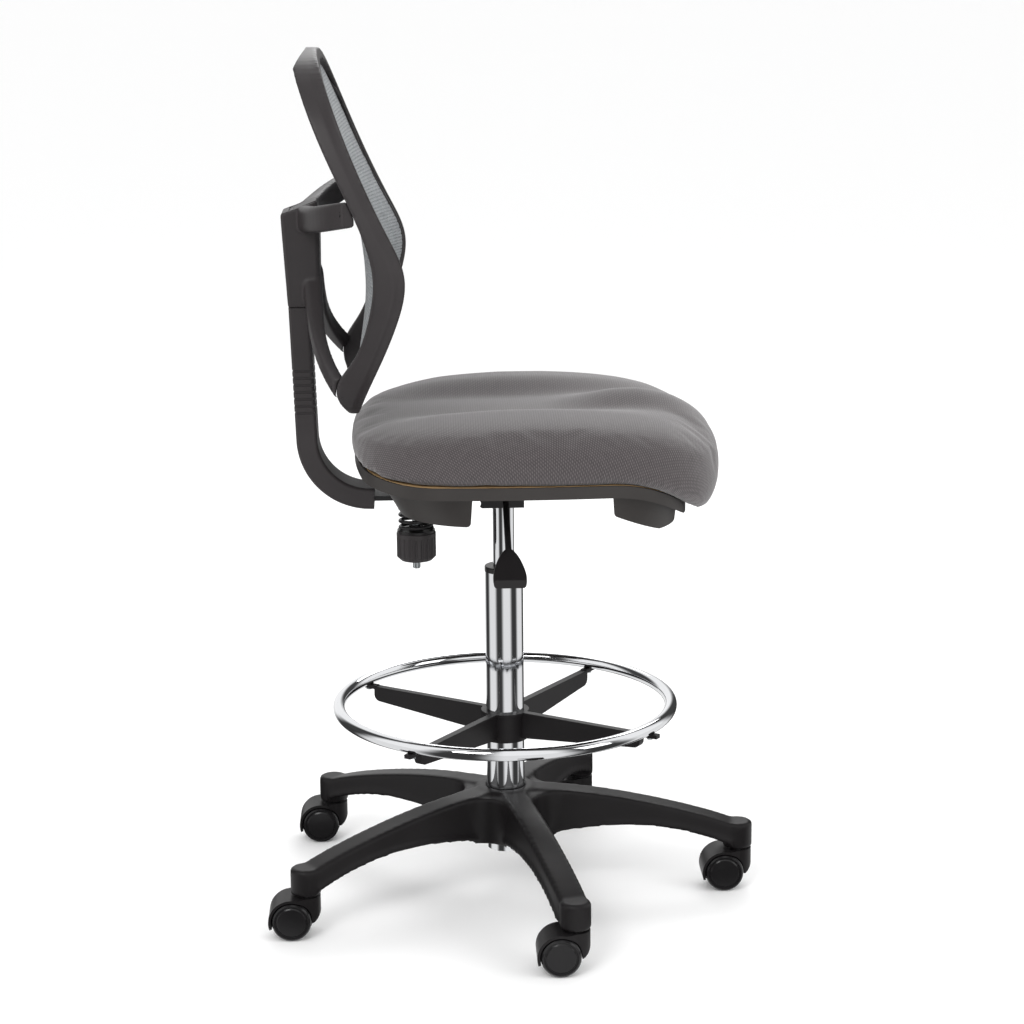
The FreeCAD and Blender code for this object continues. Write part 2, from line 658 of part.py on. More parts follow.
def seam_line(drop):
    """Edges of the seam line, lowered by drop, past both ends of the cushion."""
    rear, front = CUSHION_REAR - 20.0, CUSHION_FRONT + 20.0

    def at(x):
        return V(x, 0, seam_height(x) - drop)

    rear_mid = (rear + SEAM_REAR_X) / 2
    front_mid = (SEAM_SLOPE_X + SEAM_FRONT_X) / 2
    return [
        Part.Arc(at(rear), at(rear_mid), at(SEAM_REAR_X)).toShape(),
        Part.LineSegment(at(SEAM_REAR_X), at(SEAM_FRONT_X)).toShape(),
        Part.Arc(at(SEAM_FRONT_X), at(front_mid), at(SEAM_SLOPE_X)).toShape(),
        Part.LineSegment(at(SEAM_SLOPE_X), at(front)).toShape(),
    ]


def joined(low_edges, high_edges):
    """Close two open lines of edges, given in the same direction, with straight ends."""
    ends = []
    for side in (0, -1):
        low = low_edges[side].Vertexes[side].Point
        high = high_edges[side].Vertexes[side].Point
        ends.append(Part.LineSegment(low, high).toShape())
    return low_edges + high_edges + ends


def seam_slab(low_drop, high_drop):
    """Everything between the seam line lowered by the two drops."""
    wide = CUSHION_HALF_WIDTH + 30
    return side_prism(joined(seam_line(low_drop), seam_line(high_drop)), wide)


def seat_outline(inset, extent, z):
    """Closed outline of eight tangent arcs: bulged sides and round corners.

    extent is (rear, front, half width) before the inset.
    """
    rear, front, half_width = extent
    middle = (front + rear) / 2
    length, width = (front - rear) / 2 - inset, half_width - inset
    end_r, side_r, corner_r = SEAT_END_R - inset, SEAT_SIDE_R - inset, SEAT_CORNER_R - inset
    end_centre, side_centre = V(length - end_r, 0, 0), V(0, width - side_r, 0)
    # the corner's centre lies at a known distance from both large centres
    between = side_centre - end_centre
    span = between.Length
    reach = ((end_r - corner_r) ** 2 - (side_r - corner_r) ** 2 + span**2) / (2 * span)
    rise = math.sqrt((end_r - corner_r) ** 2 - reach**2)
    across = V(between.y, -between.x, 0) / span
    across = across if across.x > 0 else -across
    corner = end_centre + between * (reach / span) + across * rise
    from_end = (corner - end_centre).normalize()
    from_side = (corner - side_centre).normalize()
    on_end = end_centre + from_end * end_r
    on_side = side_centre + from_side * side_r
    on_corner = corner + (from_end + from_side).normalize() * corner_r

    def place(point, sign_x, sign_y):
        return V(middle + sign_x * point.x, sign_y * point.y, z)

    edges = []
    for sign in (1, -1):
        edges.append(Part.Arc(place(on_end, sign, -1), place(V(length, 0, 0), sign, 1),
                              place(on_end, sign, 1)).toShape())
        edges.append(Part.Arc(place(on_side, -1, sign), place(V(0, width, 0), 1, sign),
                              place(on_side, 1, sign)).toShape())
        for other in (1, -1):
            edges.append(Part.Arc(place(on_end, sign, other), place(on_corner, sign, other),
                                  place(on_side, sign, other)).toShape())
    return Part.Wire(Part.__sortEdges__(edges))


SHELL_EXTENT = (SHELL_REAR, SHELL_FRONT, SHELL_HALF_WIDTH)
CUSHION_EXTENT = (CUSHION_REAR, CUSHION_FRONT, CUSHION_HALF_WIDTH)
SKIRT_EXTENT = (SHELL_REAR + SKIRT_REAR_INSET, SHELL_FRONT - SKIRT_FRONT_INSET,
                SHELL_HALF_WIDTH - SKIRT_SIDE_INSET)


def outline_column(inset):
    """The shell's outline as an upright prism."""
    return Part.Face(seat_outline(inset, SHELL_EXTENT, SKIRT_LEVEL - 60)).extrude(V(0, 0, 260))


def skirt_taper(inset):
    """Body that narrows from the seam down to the skirt level."""
    low = seat_outline(inset, SKIRT_EXTENT, SKIRT_LEVEL)
    high = seat_outline(inset + 1.5, SHELL_EXTENT, SEAM_Z + 30)
    return Part.makeLoft([low, high], True, True)


def bolt_places():
    return [(x, y) for x in (-BOLT_X, BOLT_X) for y in (-BOLT_Y, BOLT_Y)]


def armrest_places():
    half = ARMREST_SPACING / 2
    return [(ARMREST_HOLE_X + x, y) for x in (-half, half)
            for y in (-ARMREST_HOLE_Y, ARMREST_HOLE_Y)]


def shell_screw_places():
    return [(x, y) for x in (SEAM_REAR_X + 10, SEAM_FRONT_X - 10)
            for y in (-SHELL_SCREW_Y, SHELL_SCREW_Y)]


def seat_shell():
    """Under-shell: rim band, deck under the board, and skirts with open sides."""
    rim_depth = BOARD_THICKNESS + DECK_THICKNESS
    band = seam_slab(rim_depth, 0).common(outline_column(0))
    tray = seam_slab(BOARD_THICKNESS, -40).common(outline_column(SHELL_WALL + 1))
    band = band.cut(tray)
    skirt = skirt_taper(0).cut(skirt_taper(SHELL_WALL))
    reach = SHELL_FRONT + 40
    above = SEAM_Z + 46
    rear_skirt = side_polygon(
        [(SHELL_REAR - 40, above), (SHELL_REAR - 40, REAR_SKIRT_LOW),
         (REAR_SKIRT_END, REAR_SKIRT_LOW), (REAR_SKIRT_END + 6, above)], reach)
    front_skirt = side_polygon(
        [(FRONT_SKIRT_START - 7, above), (FRONT_SKIRT_START, FRONT_SKIRT_STEP),
         (FRONT_SKIRT_LOW_X, FRONT_SKIRT_LOW), (reach, FRONT_SKIRT_LOW), (reach, above)], reach)
    keep = [rounded(piece, SKIRT_ROUNDING, lambda edge: runs_along(edge, V(0, 1, 0))
                    and edge.BoundBox.ZMax < SEAM_Z - 30
                    and SHELL_REAR < edge.BoundBox.XMin < SHELL_FRONT)
            for piece in (rear_skirt, front_skirt)]
    skirt = skirt.common(fuse(keep)).cut(seam_slab(rim_depth - 1, -2 * (SEAM_Z - SKIRT_LEVEL)))
    bar_notch = block(SHELL_REAR - 9, SHELL_REAR + 110, -COVER_WIDTH / 2 - 6,
                      COVER_WIDTH / 2 + 6, SKIRT_LEVEL - 9, DECK_BOTTOM + 1)
    skirt = skirt.cut(bar_notch)
    bosses = [vertical(SHELL_BOSS_R, PLATE_TOP, DECK_BOTTOM + 1, x, y) for x, y in bolt_places()]
    holes = [vertical(BOLT_D / 2 + 0.5, PLATE_TOP - 1, DECK_TOP + 1, x, y)
             for x, y in bolt_places()]
    holes += [vertical(5.5, DECK_BOTTOM - 1, DECK_TOP + 1, x, y) for x, y in armrest_places()]
    holes += [vertical(2.5, DECK_BOTTOM - 1, DECK_TOP + 1, x, y)
              for x, y in shell_screw_places()]
    return fuse([band, skirt] + bosses).cut(fuse(holes))


def seat_board():
    """Moulded plywood board that follows the seam line."""
    board = seam_slab(BOARD_THICKNESS, 0).common(outline_column(SHELL_WALL + 3))
    holes = []
    for x, y in bolt_places() + armrest_places():
        holes.append(vertical(4.5, DECK_TOP - 1, SEAM_Z + 1, x, y))
        holes.append(vertical(9.5, SEAM_Z - 1.5, SEAM_Z + 1, x, y))
    for x, y in shell_screw_places():
        holes.append(vertical(2.0, DECK_TOP - 1, SEAM_Z - 3, x, y))
    return board.cut(fuse(holes))


def board_inserts():
    """Flanged threaded inserts: four for the mechanism and two under each armrest's place."""
    inserts = []
    for x, y in bolt_places() + armrest_places():
        insert = fuse([vertical(4.5, DECK_TOP, SEAM_Z - 1.5, x, y),
                       vertical(9.5, SEAM_Z - 1.5, SEAM_Z, x, y)])
        inserts.append(insert.cut(vertical(BOLT_D / 2, DECK_TOP - 1, SEAM_Z + 1, x, y)))
    return Part.makeCompound(inserts)


def shell_screws():
    screws = []
    for x, y in shell_screw_places():
        head = vertical(4.5, DECK_BOTTOM - 2.0, DECK_BOTTOM, x, y)
        screws.append(fuse([head, vertical(2.0, DECK_BOTTOM - 2.0, SEAM_Z - 3, x, y)]))
    return Part.makeCompound(screws)


def seat_cushion():
    """Upholstered foam pad: rounded-square plan, crowned top and a full front edge."""
    levels = [(SEAM_Z - 66, 48.0), (SEAM_Z - 54, 34.0), (SEAM_Z - 42, 19.0), (SEAM_Z - 16, 5.0),
              (SEAM_Z + 8, 0.0), (SEAM_Z + 32, 4.0), (CUSHION_TOP + 9, 24.0)]
    wires = [seat_outline(inset, CUSHION_EXTENT, z) for z, inset in levels]
    body = Part.makeLoft(wires, True, False)
    middle = (CUSHION_REAR + CUSHION_FRONT) / 2
    crown = smooth_edge([V(CUSHION_REAR - 20, 0, CUSHION_TOP - 42),
                         V(CUSHION_REAR + 66, 0, CUSHION_TOP - 19),
                         V(middle, 0, CUSHION_TOP),
                         V(CUSHION_FRONT - 80, 0, CUSHION_TOP - 17),
                         V(CUSHION_FRONT - 26, 0, CUSHION_TOP - 44),
                         V(CUSHION_FRONT + 20, 0, CUSHION_TOP - 80)])
    low = seam_line(-GAP)
    ends = [Part.LineSegment(low[0].Vertexes[0].Point, crown.Vertexes[0].Point).toShape(),
            Part.LineSegment(low[-1].Vertexes[-1].Point, crown.Vertexes[-1].Point).toShape()]
    return body.common(side_prism(low + [crown] + ends, CUSHION_HALF_WIDTH + 30))


# ------------------------------------------------------------------ tilt mechanism
def mechanism_housing():
    """Pressed steel housing: top plate, two side walls, floor and front wall."""
    under = PLATE_TOP - STEEL
    plate = block(PLATE_REAR, PLATE_FRONT, -PLATE_HALF_WIDTH, PLATE_HALF_WIDTH,
                  under, PLATE_TOP)
    plate = rounded(plate, 14.0, lambda edge: runs_along(edge, UP))
    bar_side = HOUSING_BOTTOM + HOUSING_STEP
    notch = crosswise(6.5, -99, 99, HOUSING_STEP_X - 9, bar_side - 5.0)
    outline = [(HOUSING_REAR, under), (HOUSING_REAR, bar_side), (HOUSING_STEP_X - 15, bar_side),
               (HOUSING_STEP_X - 1, HOUSING_BOTTOM), (HOUSING_FRONT, HOUSING_BOTTOM),
               (HOUSING_FRONT, under)]
    solid = side_polygon(outline, HOUSING_HALF_WIDTH).cut(notch)
    inside = HOUSING_HALF_WIDTH - STEEL
    hollow = block(HOUSING_REAR - 1, HOUSING_FRONT - STEEL, -inside, inside,
                   HOUSING_BOTTOM + STEEL, under)
    rear_floor = block(HOUSING_REAR - 1, HOUSING_STEP_X, -inside, inside,
                       HOUSING_BOTTOM - 1, under)
    box = solid.cut(fuse([hollow, rear_floor]))
    holes = [vertical(BOLT_D / 2, under - 1, PLATE_TOP + 1, x, y) for x, y in bolt_places()]
    holes += [vertical(SOCKET_R, HOUSING_BOTTOM - 1, HOUSING_BOTTOM + STEEL + 1),
              vertical(SCREW_R, under - 1, PLATE_TOP + 1, SCREW_X),
              crosswise(PIVOT_D / 2, -99, 99, PIVOT_X, PIVOT_Z),
              crosswise(LEVER_R + 2.5, -HOUSING_HALF_WIDTH - 1, -inside + 1, 0, LEVER_Z)]
    return fuse([plate, box]).cut(fuse(holes))


def taper_socket():
    """Welded steel socket that grips the gas cylinder's taper."""
    body = vertical(SOCKET_R, HOUSING_BOTTOM, HOUSING_BOTTOM + 18.0)
    rim = rounded(body, 1.5, lambda edge: edge.BoundBox.ZMin > HOUSING_BOTTOM + 17
                  and edge.BoundBox.XLength > SOCKET_R)
    return rim.cut(gas_cylinder()).cut(vertical(VALVE_PIN_D, CYLINDER_BOTTOM, CYLINDER_TOP))


def mechanism_bolts():
    """Four hexagon bolts from under the plate up into the board's inserts."""
    bolts = []
    low = PLATE_TOP - STEEL
    for x, y in bolt_places():
        head = hexagon(10.0, low - 4.0, low, x, y)
        bolts.append(fuse([head, vertical(BOLT_D / 2, low - 1, SEAM_Z - 2, x, y)]))
    return Part.makeCompound(bolts)


def pivot_pin():
    """Headed pin of the back bar's hinge, across both side walls."""
    half = HOUSING_HALF_WIDTH
    pin = crosswise(PIVOT_D / 2, -half - 2.0, half + 2.0, PIVOT_X, PIVOT_Z)
    heads = [crosswise(PIVOT_D / 2 + 2.5, side * half + min(side, 0) * 3.0,
                       side * half + max(side, 0) * 3.0, PIVOT_X, PIVOT_Z) for side in (-1, 1)]
    return fuse([pin] + heads)


def tilt_screw():
    """Tension screw welded under the plate, through the bar's slot down to the knob."""
    under = PLATE_TOP - STEEL
    shank = vertical(SCREW_R, KNOB_BOTTOM - 12.0, PLATE_TOP, SCREW_X)
    shank = rounded(shank, 2.0, lambda edge: edge.BoundBox.ZMax < KNOB_BOTTOM
                    and edge.BoundBox.XLength > 1)
    return fuse([shank, hexagon(17.0, under - 6.0, under, SCREW_X)])


def tilt_knob():
    """Fluted knob on the tension screw."""
    low, high = KNOB_BOTTOM, KNOB_TOP
    radius = KNOB_D / 2
    body = vertical(radius, low, high, SCREW_X)
    body = body.makeChamfer(5.0, [edge for edge in body.Edges
                                  if edge.BoundBox.ZMax < low + 1 and edge.BoundBox.XLength > 1])
    body = rounded(body, 1.5, lambda edge: edge.BoundBox.ZMin > high - 1
                   and edge.BoundBox.XLength > 1)
    flutes = []
    for step in range(KNOB_FLUTES):
        turn = 2 * math.pi * step / KNOB_FLUTES
        reach = radius + 1.3
        flutes.append(vertical(2.6, low - 1, high - 6.0, SCREW_X + reach * math.cos(turn),
                               reach * math.sin(turn)))
    return body.cut(fuse(flutes)).cut(vertical(SCREW_R + RUN, low - 1, high + 1, SCREW_X))


def spring_washer():
    """Cupped washer between the knob and the spring."""
    plate = vertical(KNOB_D / 2 - 1.0, KNOB_TOP, SPRING_LOW, SCREW_X)
    guide = vertical(SCREW_R + 4.0, KNOB_TOP, SPRING_LOW + 6.0, SCREW_X)
    return fuse([plate, guide]).cut(
        vertical(SCREW_R + RUN, KNOB_TOP - 1, SPRING_LOW + 9, SCREW_X))


def tilt_spring():
    """Closed-end coil spring, with ground ends, between the washer and the bar."""
    height = SPRING_HIGH - SPRING_LOW
    wire_r = SPRING_WIRE / 2
    mean_r = SPRING_D / 2 - wire_r
    pitch = (height - SPRING_WIRE) / SPRING_TURNS
    helix = Part.makeHelix(pitch, height - SPRING_WIRE, mean_r)
    section = Part.Wire([Part.Circle(V(mean_r, 0, 0), V(0, 1, 0), wire_r).toShape()])
    coil = Part.Wire(helix.Edges).makePipeShell([section], True, True)
    coil.translate(V(SCREW_X, 0, SPRING_LOW + wire_r))
    return coil


# ------------------------------------------------------------------ lift lever
def lever_points():
    """Inner end, bend and outer end of the lever's rod."""
    slope = math.tan(math.radians(LEVER_SLOPE))
    outer_y = PADDLE_START_Y - 22.0
    return [V(0, LEVER_R + 4.0, LEVER_Z), V(0, LEVER_BEND_Y, LEVER_Z),
            V(0, outer_y, LEVER_Z + (outer_y - LEVER_BEND_Y) * slope)]


def lift_lever():
    inner, bend, outer = lever_points()
    knee = Part.makeSphere(LEVER_R, bend)
    return fuse([bar_between(LEVER_R, inner, bend), knee, bar_between(LEVER_R, bend, outer)])


def lever_bush():
    """Plastic bush in the side wall, wide enough for the lever to rock."""
    outside = -HOUSING_HALF_WIDTH
    sleeve = crosswise(LEVER_R + 2.5, outside - 2.0, outside + STEEL + 2.0, 0, LEVER_Z)
    flange = crosswise(LEVER_R + 4.5, outside - 2.0, outside, 0, LEVER_Z)
    bore = crosswise(LEVER_R + 0.4, outside - 9, outside + 9, 0, LEVER_Z)
    return fuse([sleeve, flange]).cut(bore)


def lever_paddle():
    """Moulded finger paddle on the lever's end, widening outwards to a thick lip."""
    slope = math.tan(math.radians(LEVER_SLOPE))

    def centre_z(y):
        return LEVER_Z + (y - LEVER_BEND_Y) * slope

    length = PADDLE_START_Y - PADDLE_END_Y
    stations = [(0.0, 0.31, 1.35, 0.0), (0.22, 0.62, 1.4, 0.0), (0.55, 0.90, 1.3, -1.0),
                (0.85, 1.0, 1.1, -1.0), (1.0, 0.96, 1.25, -2.0)]
    wires = []
    for share, width, thickness, drop in stations:
        y = PADDLE_START_Y - share * length
        across, deep = PADDLE_WIDTH * width, PADDLE_THICKNESS * thickness
        wires.append(rounded_section(y, 0, centre_z(y) + drop, across, deep,
                                     0.42 * min(across, deep)))
    return Part.makeLoft(wires, True, False).cut(lift_lever())


# ------------------------------------------------------------------ back bar
def bar_path_point(level=None, turn=None, offset=0.0):
    """Point of the J-shaped bar's middle line, moved sideways by offset towards the front.

    level picks a height on the upright, turn an angle round the bend from its start.
    """
    lean = math.radians(LEAN)
    centre = V(BEND_X, 0, BAR_Z + BEND_R)
    full = math.pi / 2 - lean
    angle = full if turn is None else turn
    radius = BEND_R - offset
    point = centre + V(-math.sin(angle), 0, -math.cos(angle)) * radius
    if level is not None:
        rise = (level - point.z) / math.cos(lean)
        point = point + V(-math.sin(lean), 0, math.cos(lean)) * rise
    return point


def bar_strip(low_offset, high_offset, start_x, top, half_width):
    """Part of the bent bar between two offsets from its middle line."""
    full = math.pi / 2 - math.radians(LEAN)
    edges = []
    ends = []
    for offset in (low_offset, high_offset):
        start = V(start_x, 0, BAR_Z + offset)
        first = bar_path_point(turn=0, offset=offset)
        middle = bar_path_point(turn=full / 2, offset=offset)
        last = bar_path_point(offset=offset)
        end = bar_path_point(level=top, offset=offset)
        edges += [Part.LineSegment(start, first).toShape(),
                  Part.Arc(first, middle, last).toShape(),
                  Part.LineSegment(last, end).toShape()]
        ends.append((start, end))
    edges.append(Part.LineSegment(ends[0][0], ends[1][0]).toShape())
    edges.append(Part.LineSegment(ends[0][1], ends[1][1]).toShape())
    return side_prism(edges, half_width)


def back_bar():
    """Flat steel bar: hinge end under the seat, bend, and upright inside the bracket."""
    half = BAR_THICKNESS / 2
    bar = bar_strip(-half, half, BAR_FRONT_X, BAR_TOP, BAR_WIDTH / 2)
    reach, side = SCREW_R + SLOT_PLAY, SCREW_R + 1.5
    slot = block(SCREW_X - reach, SCREW_X + reach, -side, side, BAR_Z - 9, BAR_Z + 9)
    slot = rounded(slot, side - 0.5, lambda edge: runs_along(edge, UP))
    return bar.cut(slot)


def hinge_bracket():
    """Two welded ears on the bar, bored for the pivot pin."""
    low = BAR_Z + BAR_THICKNESS / 2
    radius = PIVOT_D / 2 + 4.5
    ears = []
    for side in (-1, 1):
        y0, y1 = sorted((side * (BAR_WIDTH / 2 - 5.0), side * BAR_WIDTH / 2))
        ear = fuse([crosswise(radius, y0, y1, PIVOT_X, PIVOT_Z),
                    block(PIVOT_X - radius, PIVOT_X + radius, y0, y1, low, PIVOT_Z)])
        ears.append(ear)
    bore = crosswise(PIVOT_D / 2 + RUN, -99, 99, PIVOT_X, PIVOT_Z)
    under = block(PIVOT_X - 20, PIVOT_X + 20, -99, 99, low - 20, low)
    return Part.makeCompound([ear.cut(bore).cut(under) for ear in ears])


def bar_cover():
    """Plastic cover moulded round the bar, with ribs across its upright."""
    half, wide = COVER_THICKNESS / 2, COVER_WIDTH / 2
    cover = bar_strip(-half, half, COVER_START_X, COVER_TOP, wide)
    cover = rounded(cover, 5.0, lambda edge: abs(abs(edge.CenterOfMass.y) - wide) < 0.1
                    and edge.Length > 30)
    core = bar_strip(GROOVE_DEPTH - half, half - GROOVE_DEPTH, COVER_START_X + 9,
                     COVER_TOP + 9, wide - GROOVE_DEPTH)
    grooves = []
    for number in range(GROOVE_COUNT):
        low = GROOVE_LOW + GROOVE_STEP * number
        grooves.append(block(-400, -150, -wide - 9, wide + 9, low, low + GROOVE_WIDTH))
    bar = bar_strip(-BAR_THICKNESS / 2, BAR_THICKNESS / 2, COVER_START_X + 9, COVER_TOP + 9,
                    BAR_WIDTH / 2)
    return cover.cut(fuse(grooves).cut(core)).cut(bar).cut(cover_screw_shape())


def cover_screw_shape():
    """Two countersunk screws from behind, through the cover's rear wall up to the bar."""
    screws = []
    for drop in COVER_SCREW_DROPS:
        outside = bar_path_point(level=COVER_TOP - drop, offset=-COVER_THICKNESS / 2)
        bar_face = bar_path_point(level=COVER_TOP - drop, offset=-BAR_THICKNESS / 2)
        way = bar_face - outside
        head = Part.makeCone(SMALL_HEAD_R, SMALL_SCREW_R, 2.5, outside, way)
        shank = Part.makeCylinder(SMALL_SCREW_R, way.Length - 0.1, outside, way)
        screws.append(fuse([head, shank]))
    return fuse(screws)


def cover_screws():
    slots = []
    for drop in COVER_SCREW_DROPS:
        outside = bar_path_point(level=COVER_TOP - drop, offset=-COVER_THICKNESS / 2)
        slots.append(block(outside.x - 2, outside.x + 1.0, -3.0, 3.0, outside.z - 0.5,
                           outside.z + 0.5))
    return Part.makeCompound(cover_screw_shape().cut(fuse(slots)).Solids)


# ------------------------------------------------------------------ backrest
# Outer edge of the rail seen from the front: right-hand half, (side, height), from the top.
RAIL_OUTLINE = [(0, 1107), (60, 1103), (110, 1092), (150, 1070), (180, 1034), (196, 990),
                (208, 925), (215, 850), (203, 777), (176, 708), (130, 671), (0, 664)]
# Front and rear faces of the rail seen from the side: (forward, height), from the top.
RAIL_FRONT = [(-231, 1125), (-206, 1050), (-177, 975), (-140, 895), (-121, 845), (-129, 795),
              (-151, 740), (-183, 655)]
RAIL_REAR = [(-262, 1125), (-238, 1050), (-207, 975), (-171, 895), (-159, 845), (-165, 795),
             (-187, 740), (-206, 706), (-204, 688), (-194, 668), (-191, 650)]
# Middle of the mesh seen from the side, hollow between the two side rails.
MESH_MIDDLE = [(-237, 1125), (-217, 1050), (-196, 975), (-179, 895), (-172, 845), (-171, 795),
               (-178, 740), (-190, 655)]


def rail_loop(inset):
    """The rail's outline, moved inwards, as a smooth closed wire in front view."""
    half = RAIL_OUTLINE
    loop = half + [(-y, z) for y, z in reversed(half[1:-1])]
    count = len(loop)
    points = []
    for number, (y, z) in enumerate(loop):
        before, after = loop[number - 1], loop[(number + 1) % count]
        along_y, along_z = after[0] - before[0], after[1] - before[1]
        length = math.hypot(along_y, along_z)
        points.append(V(-400, y + inset * along_z / length, z - inset * along_y / length))
    return smooth_loop(points)


def rail_column(inset):
    """Everything inside the inset outline, carried along X."""
    return Part.Face(rail_loop(inset)).extrude(V(400, 0, 0))


def side_curve(points, forward=0.0):
    return smooth_edge([V(x + forward, 0, z) for x, z in points])


def rail_slab():
    """The rail before its screw holes: lumbar curve in side view, outline in front view."""
    front, rear = side_curve(RAIL_FRONT), side_curve(RAIL_REAR)
    ends = [Part.LineSegment(front.Vertexes[end].Point, rear.Vertexes[end].Point).toShape()
            for end in (0, 1)]
    slab = side_prism([front, rear] + ends, 260)
    return slab.common(rail_column(0).cut(rail_column(RAIL_WIDTH)))


def back_frame():
    """Moulded closed rail with four screw holes in its rear face."""
    return rail_slab().cut(frame_screws())


def mesh_sheet(offset, thickness):
    """Sheet through the rail's sides and the hollow middle line, moved forward by offset."""
    rows = []
    for (edge_x, z), (middle_x, _) in zip(RAIL_FRONT, MESH_MIDDLE):
        row = []
        for step in range(-5, 6):
            share = (step / 4) ** 2
            x = middle_x + (edge_x - MESH_SETBACK - middle_x) * share
            row.append(V(x + offset, MESH_FLUSH_Y * step / 4, z))
        rows.append(row)
    surface = Part.BSplineSurface()
    surface.interpolate(rows)
    return surface.toShape().extrude(V(-thickness, 0, 0))


def back_mesh():
    """Stretched mesh as a thin closed sheet."""
    return mesh_sheet(0, MESH_THICKNESS).common(rail_column(RAIL_WIDTH + TRIM_WIDTH))


def mesh_trim():
    """Strip that clamps the edge of the mesh in the rail."""
    lift = (TRIM_DEPTH - MESH_THICKNESS) / 2
    strip = rail_column(RAIL_WIDTH).cut(rail_column(RAIL_WIDTH + TRIM_WIDTH))
    return mesh_sheet(lift, TRIM_DEPTH).common(strip)


def bracket_outline():
    lean = math.tan(math.radians(LEAN))
    low = COVER_TOP + GAP
    base_x = bar_path_point(level=low).x
    top = low + 118.0
    return [(base_x - 14.0, low), (base_x - 17.0 - lean * 118, top),
            (base_x + 3, top + 8.0), (base_x + 26.0, top + 16.0),
            (base_x + 28.0, top - 20.0), (base_x + 27.0, low)]


UPPER_LIMB = [(18, -243, 897, 26, 32), (80, -233, 902, 20, 32), (150, -212, 912, 17, 32),
              (200, -186, 921, 15, 31)]
LOWER_LIMB = [(16, -238, 820, 26, 30), (70, -233, 775, 20, 27), (125, -222, 738, 16, 25),
              (166, -202, 706, 15, 24)]


def limb(stations):
    wires = [rounded_section(y, x, z, depth, height, 0.28 * depth)
             for y, x, z, depth, height in stations]
    return Part.makeLoft(wires, True, False)


def back_bracket():
    """Moulded bracket: sliding box over the bar, two upper arms and two lower arms."""
    box = side_polygon(bracket_outline(), BRACKET_HALF_WIDTH)
    box = rounded(box, 5.0, lambda edge: abs(abs(edge.CenterOfMass.y) - BRACKET_HALF_WIDTH) < 0.1
                  and edge.Length > 60)
    right = fuse([limb(UPPER_LIMB), limb(LOWER_LIMB)])
    half = BAR_THICKNESS / 2 + GAP
    pocket = bar_strip(-half, half, BAR_FRONT_X, BAR_TOP + 12.0, BAR_WIDTH / 2 + GAP)
    solid = fuse([box, right, mirrored_y(right)]).cut(pocket)
    return solid.cut(rail_slab()).cut(bracket_cap()).cut(frame_screws())


def bracket_cap():
    """Wedge-shaped cap let into the bracket's head."""
    outline = bracket_outline()
    rear, middle, front = outline[1], outline[2], outline[3]
    points = [(rear[0] + 1.5, rear[1] - 2), middle, (front[0] - 1.5, front[1]),
              (front[0] - 1.5, front[1] - 8), (rear[0] + 1.5, rear[1] - 9)]
    return side_polygon(points, BRACKET_HALF_WIDTH - 7)


def limb_ends():
    """Middle of each limb's end, and the direction of the screw that holds the rail there."""
    for stations in (UPPER_LIMB, LOWER_LIMB):
        y, x, z, _, _ = stations[-1]
        for side in (-1, 1):
            yield V(x, side * (y - 7.0), z)


def frame_screws():
    """Four screws from behind, through the limbs' ends into the rail."""
    screws = []
    for place in limb_ends():
        start = place + V(-11.0, 0, 0)
        screws.append(fuse([Part.makeCylinder(SMALL_HEAD_R, 3.0, start, V(1, 0, 0)),
                            Part.makeCylinder(SMALL_SCREW_R, 18.0, start, V(1, 0, 0))]))
    return Part.makeCompound(screws)


# ------------------------------------------------------------------ the whole chair
def chair():
    nodes = caster_parts()
    nodes.update({
        "base_star": base_star(), "stem_sockets": stem_sockets(),
        "column_tube": column_tube(), "guide_bush": guide_bush(),
        "thrust_bearing": thrust_bearing(), "piston_rod": piston_rod(), "rod_clip": rod_clip(),
        "gas_cylinder": gas_cylinder(), "cylinder_seal": cylinder_seal(),
        "release_pin": release_pin(), "foot_ring": foot_ring(), "ring_spider": ring_spider(),
        "ring_screws": ring_screws(), "mechanism_housing": mechanism_housing(),
        "taper_socket": taper_socket(), "mechanism_bolts": mechanism_bolts(),
        "pivot_pin": pivot_pin(), "tilt_screw": tilt_screw(), "tilt_knob": tilt_knob(),
        "spring_washer": spring_washer(), "tilt_spring": tilt_spring(),
        "lift_lever": lift_lever(), "lever_bush": lever_bush(), "lever_paddle": lever_paddle(),
        "seat_shell": seat_shell(), "seat_board": seat_board(),
        "board_inserts": board_inserts(), "shell_screws": shell_screws(),
        "seat_cushion": seat_cushion(), "back_bar": back_bar(),
        "hinge_bracket": hinge_bracket(), "bar_cover": bar_cover(),
        "cover_screws": cover_screws(), "back_frame": back_frame(), "back_mesh": back_mesh(),
        "mesh_trim": mesh_trim(), "back_bracket": back_bracket(),
        "bracket_cap": bracket_cap(), "frame_screws": frame_screws(),
    })
    return nodes


def main():
    os.makedirs("parts", exist_ok=True)
    for name, shape in chair().items():
        print(f"{name:22} solids {len(shape.Solids)} valid {shape.isValid()} "
              f"volume {shape.Volume / 1000:9.2f} cm3")
        shape.exportStep(f"parts/{name}.step")


main()
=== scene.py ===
import bmesh
import bpy
import json
import math
import numpy as np
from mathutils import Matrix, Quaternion, Vector
from mathutils.bvhtree import BVHTree


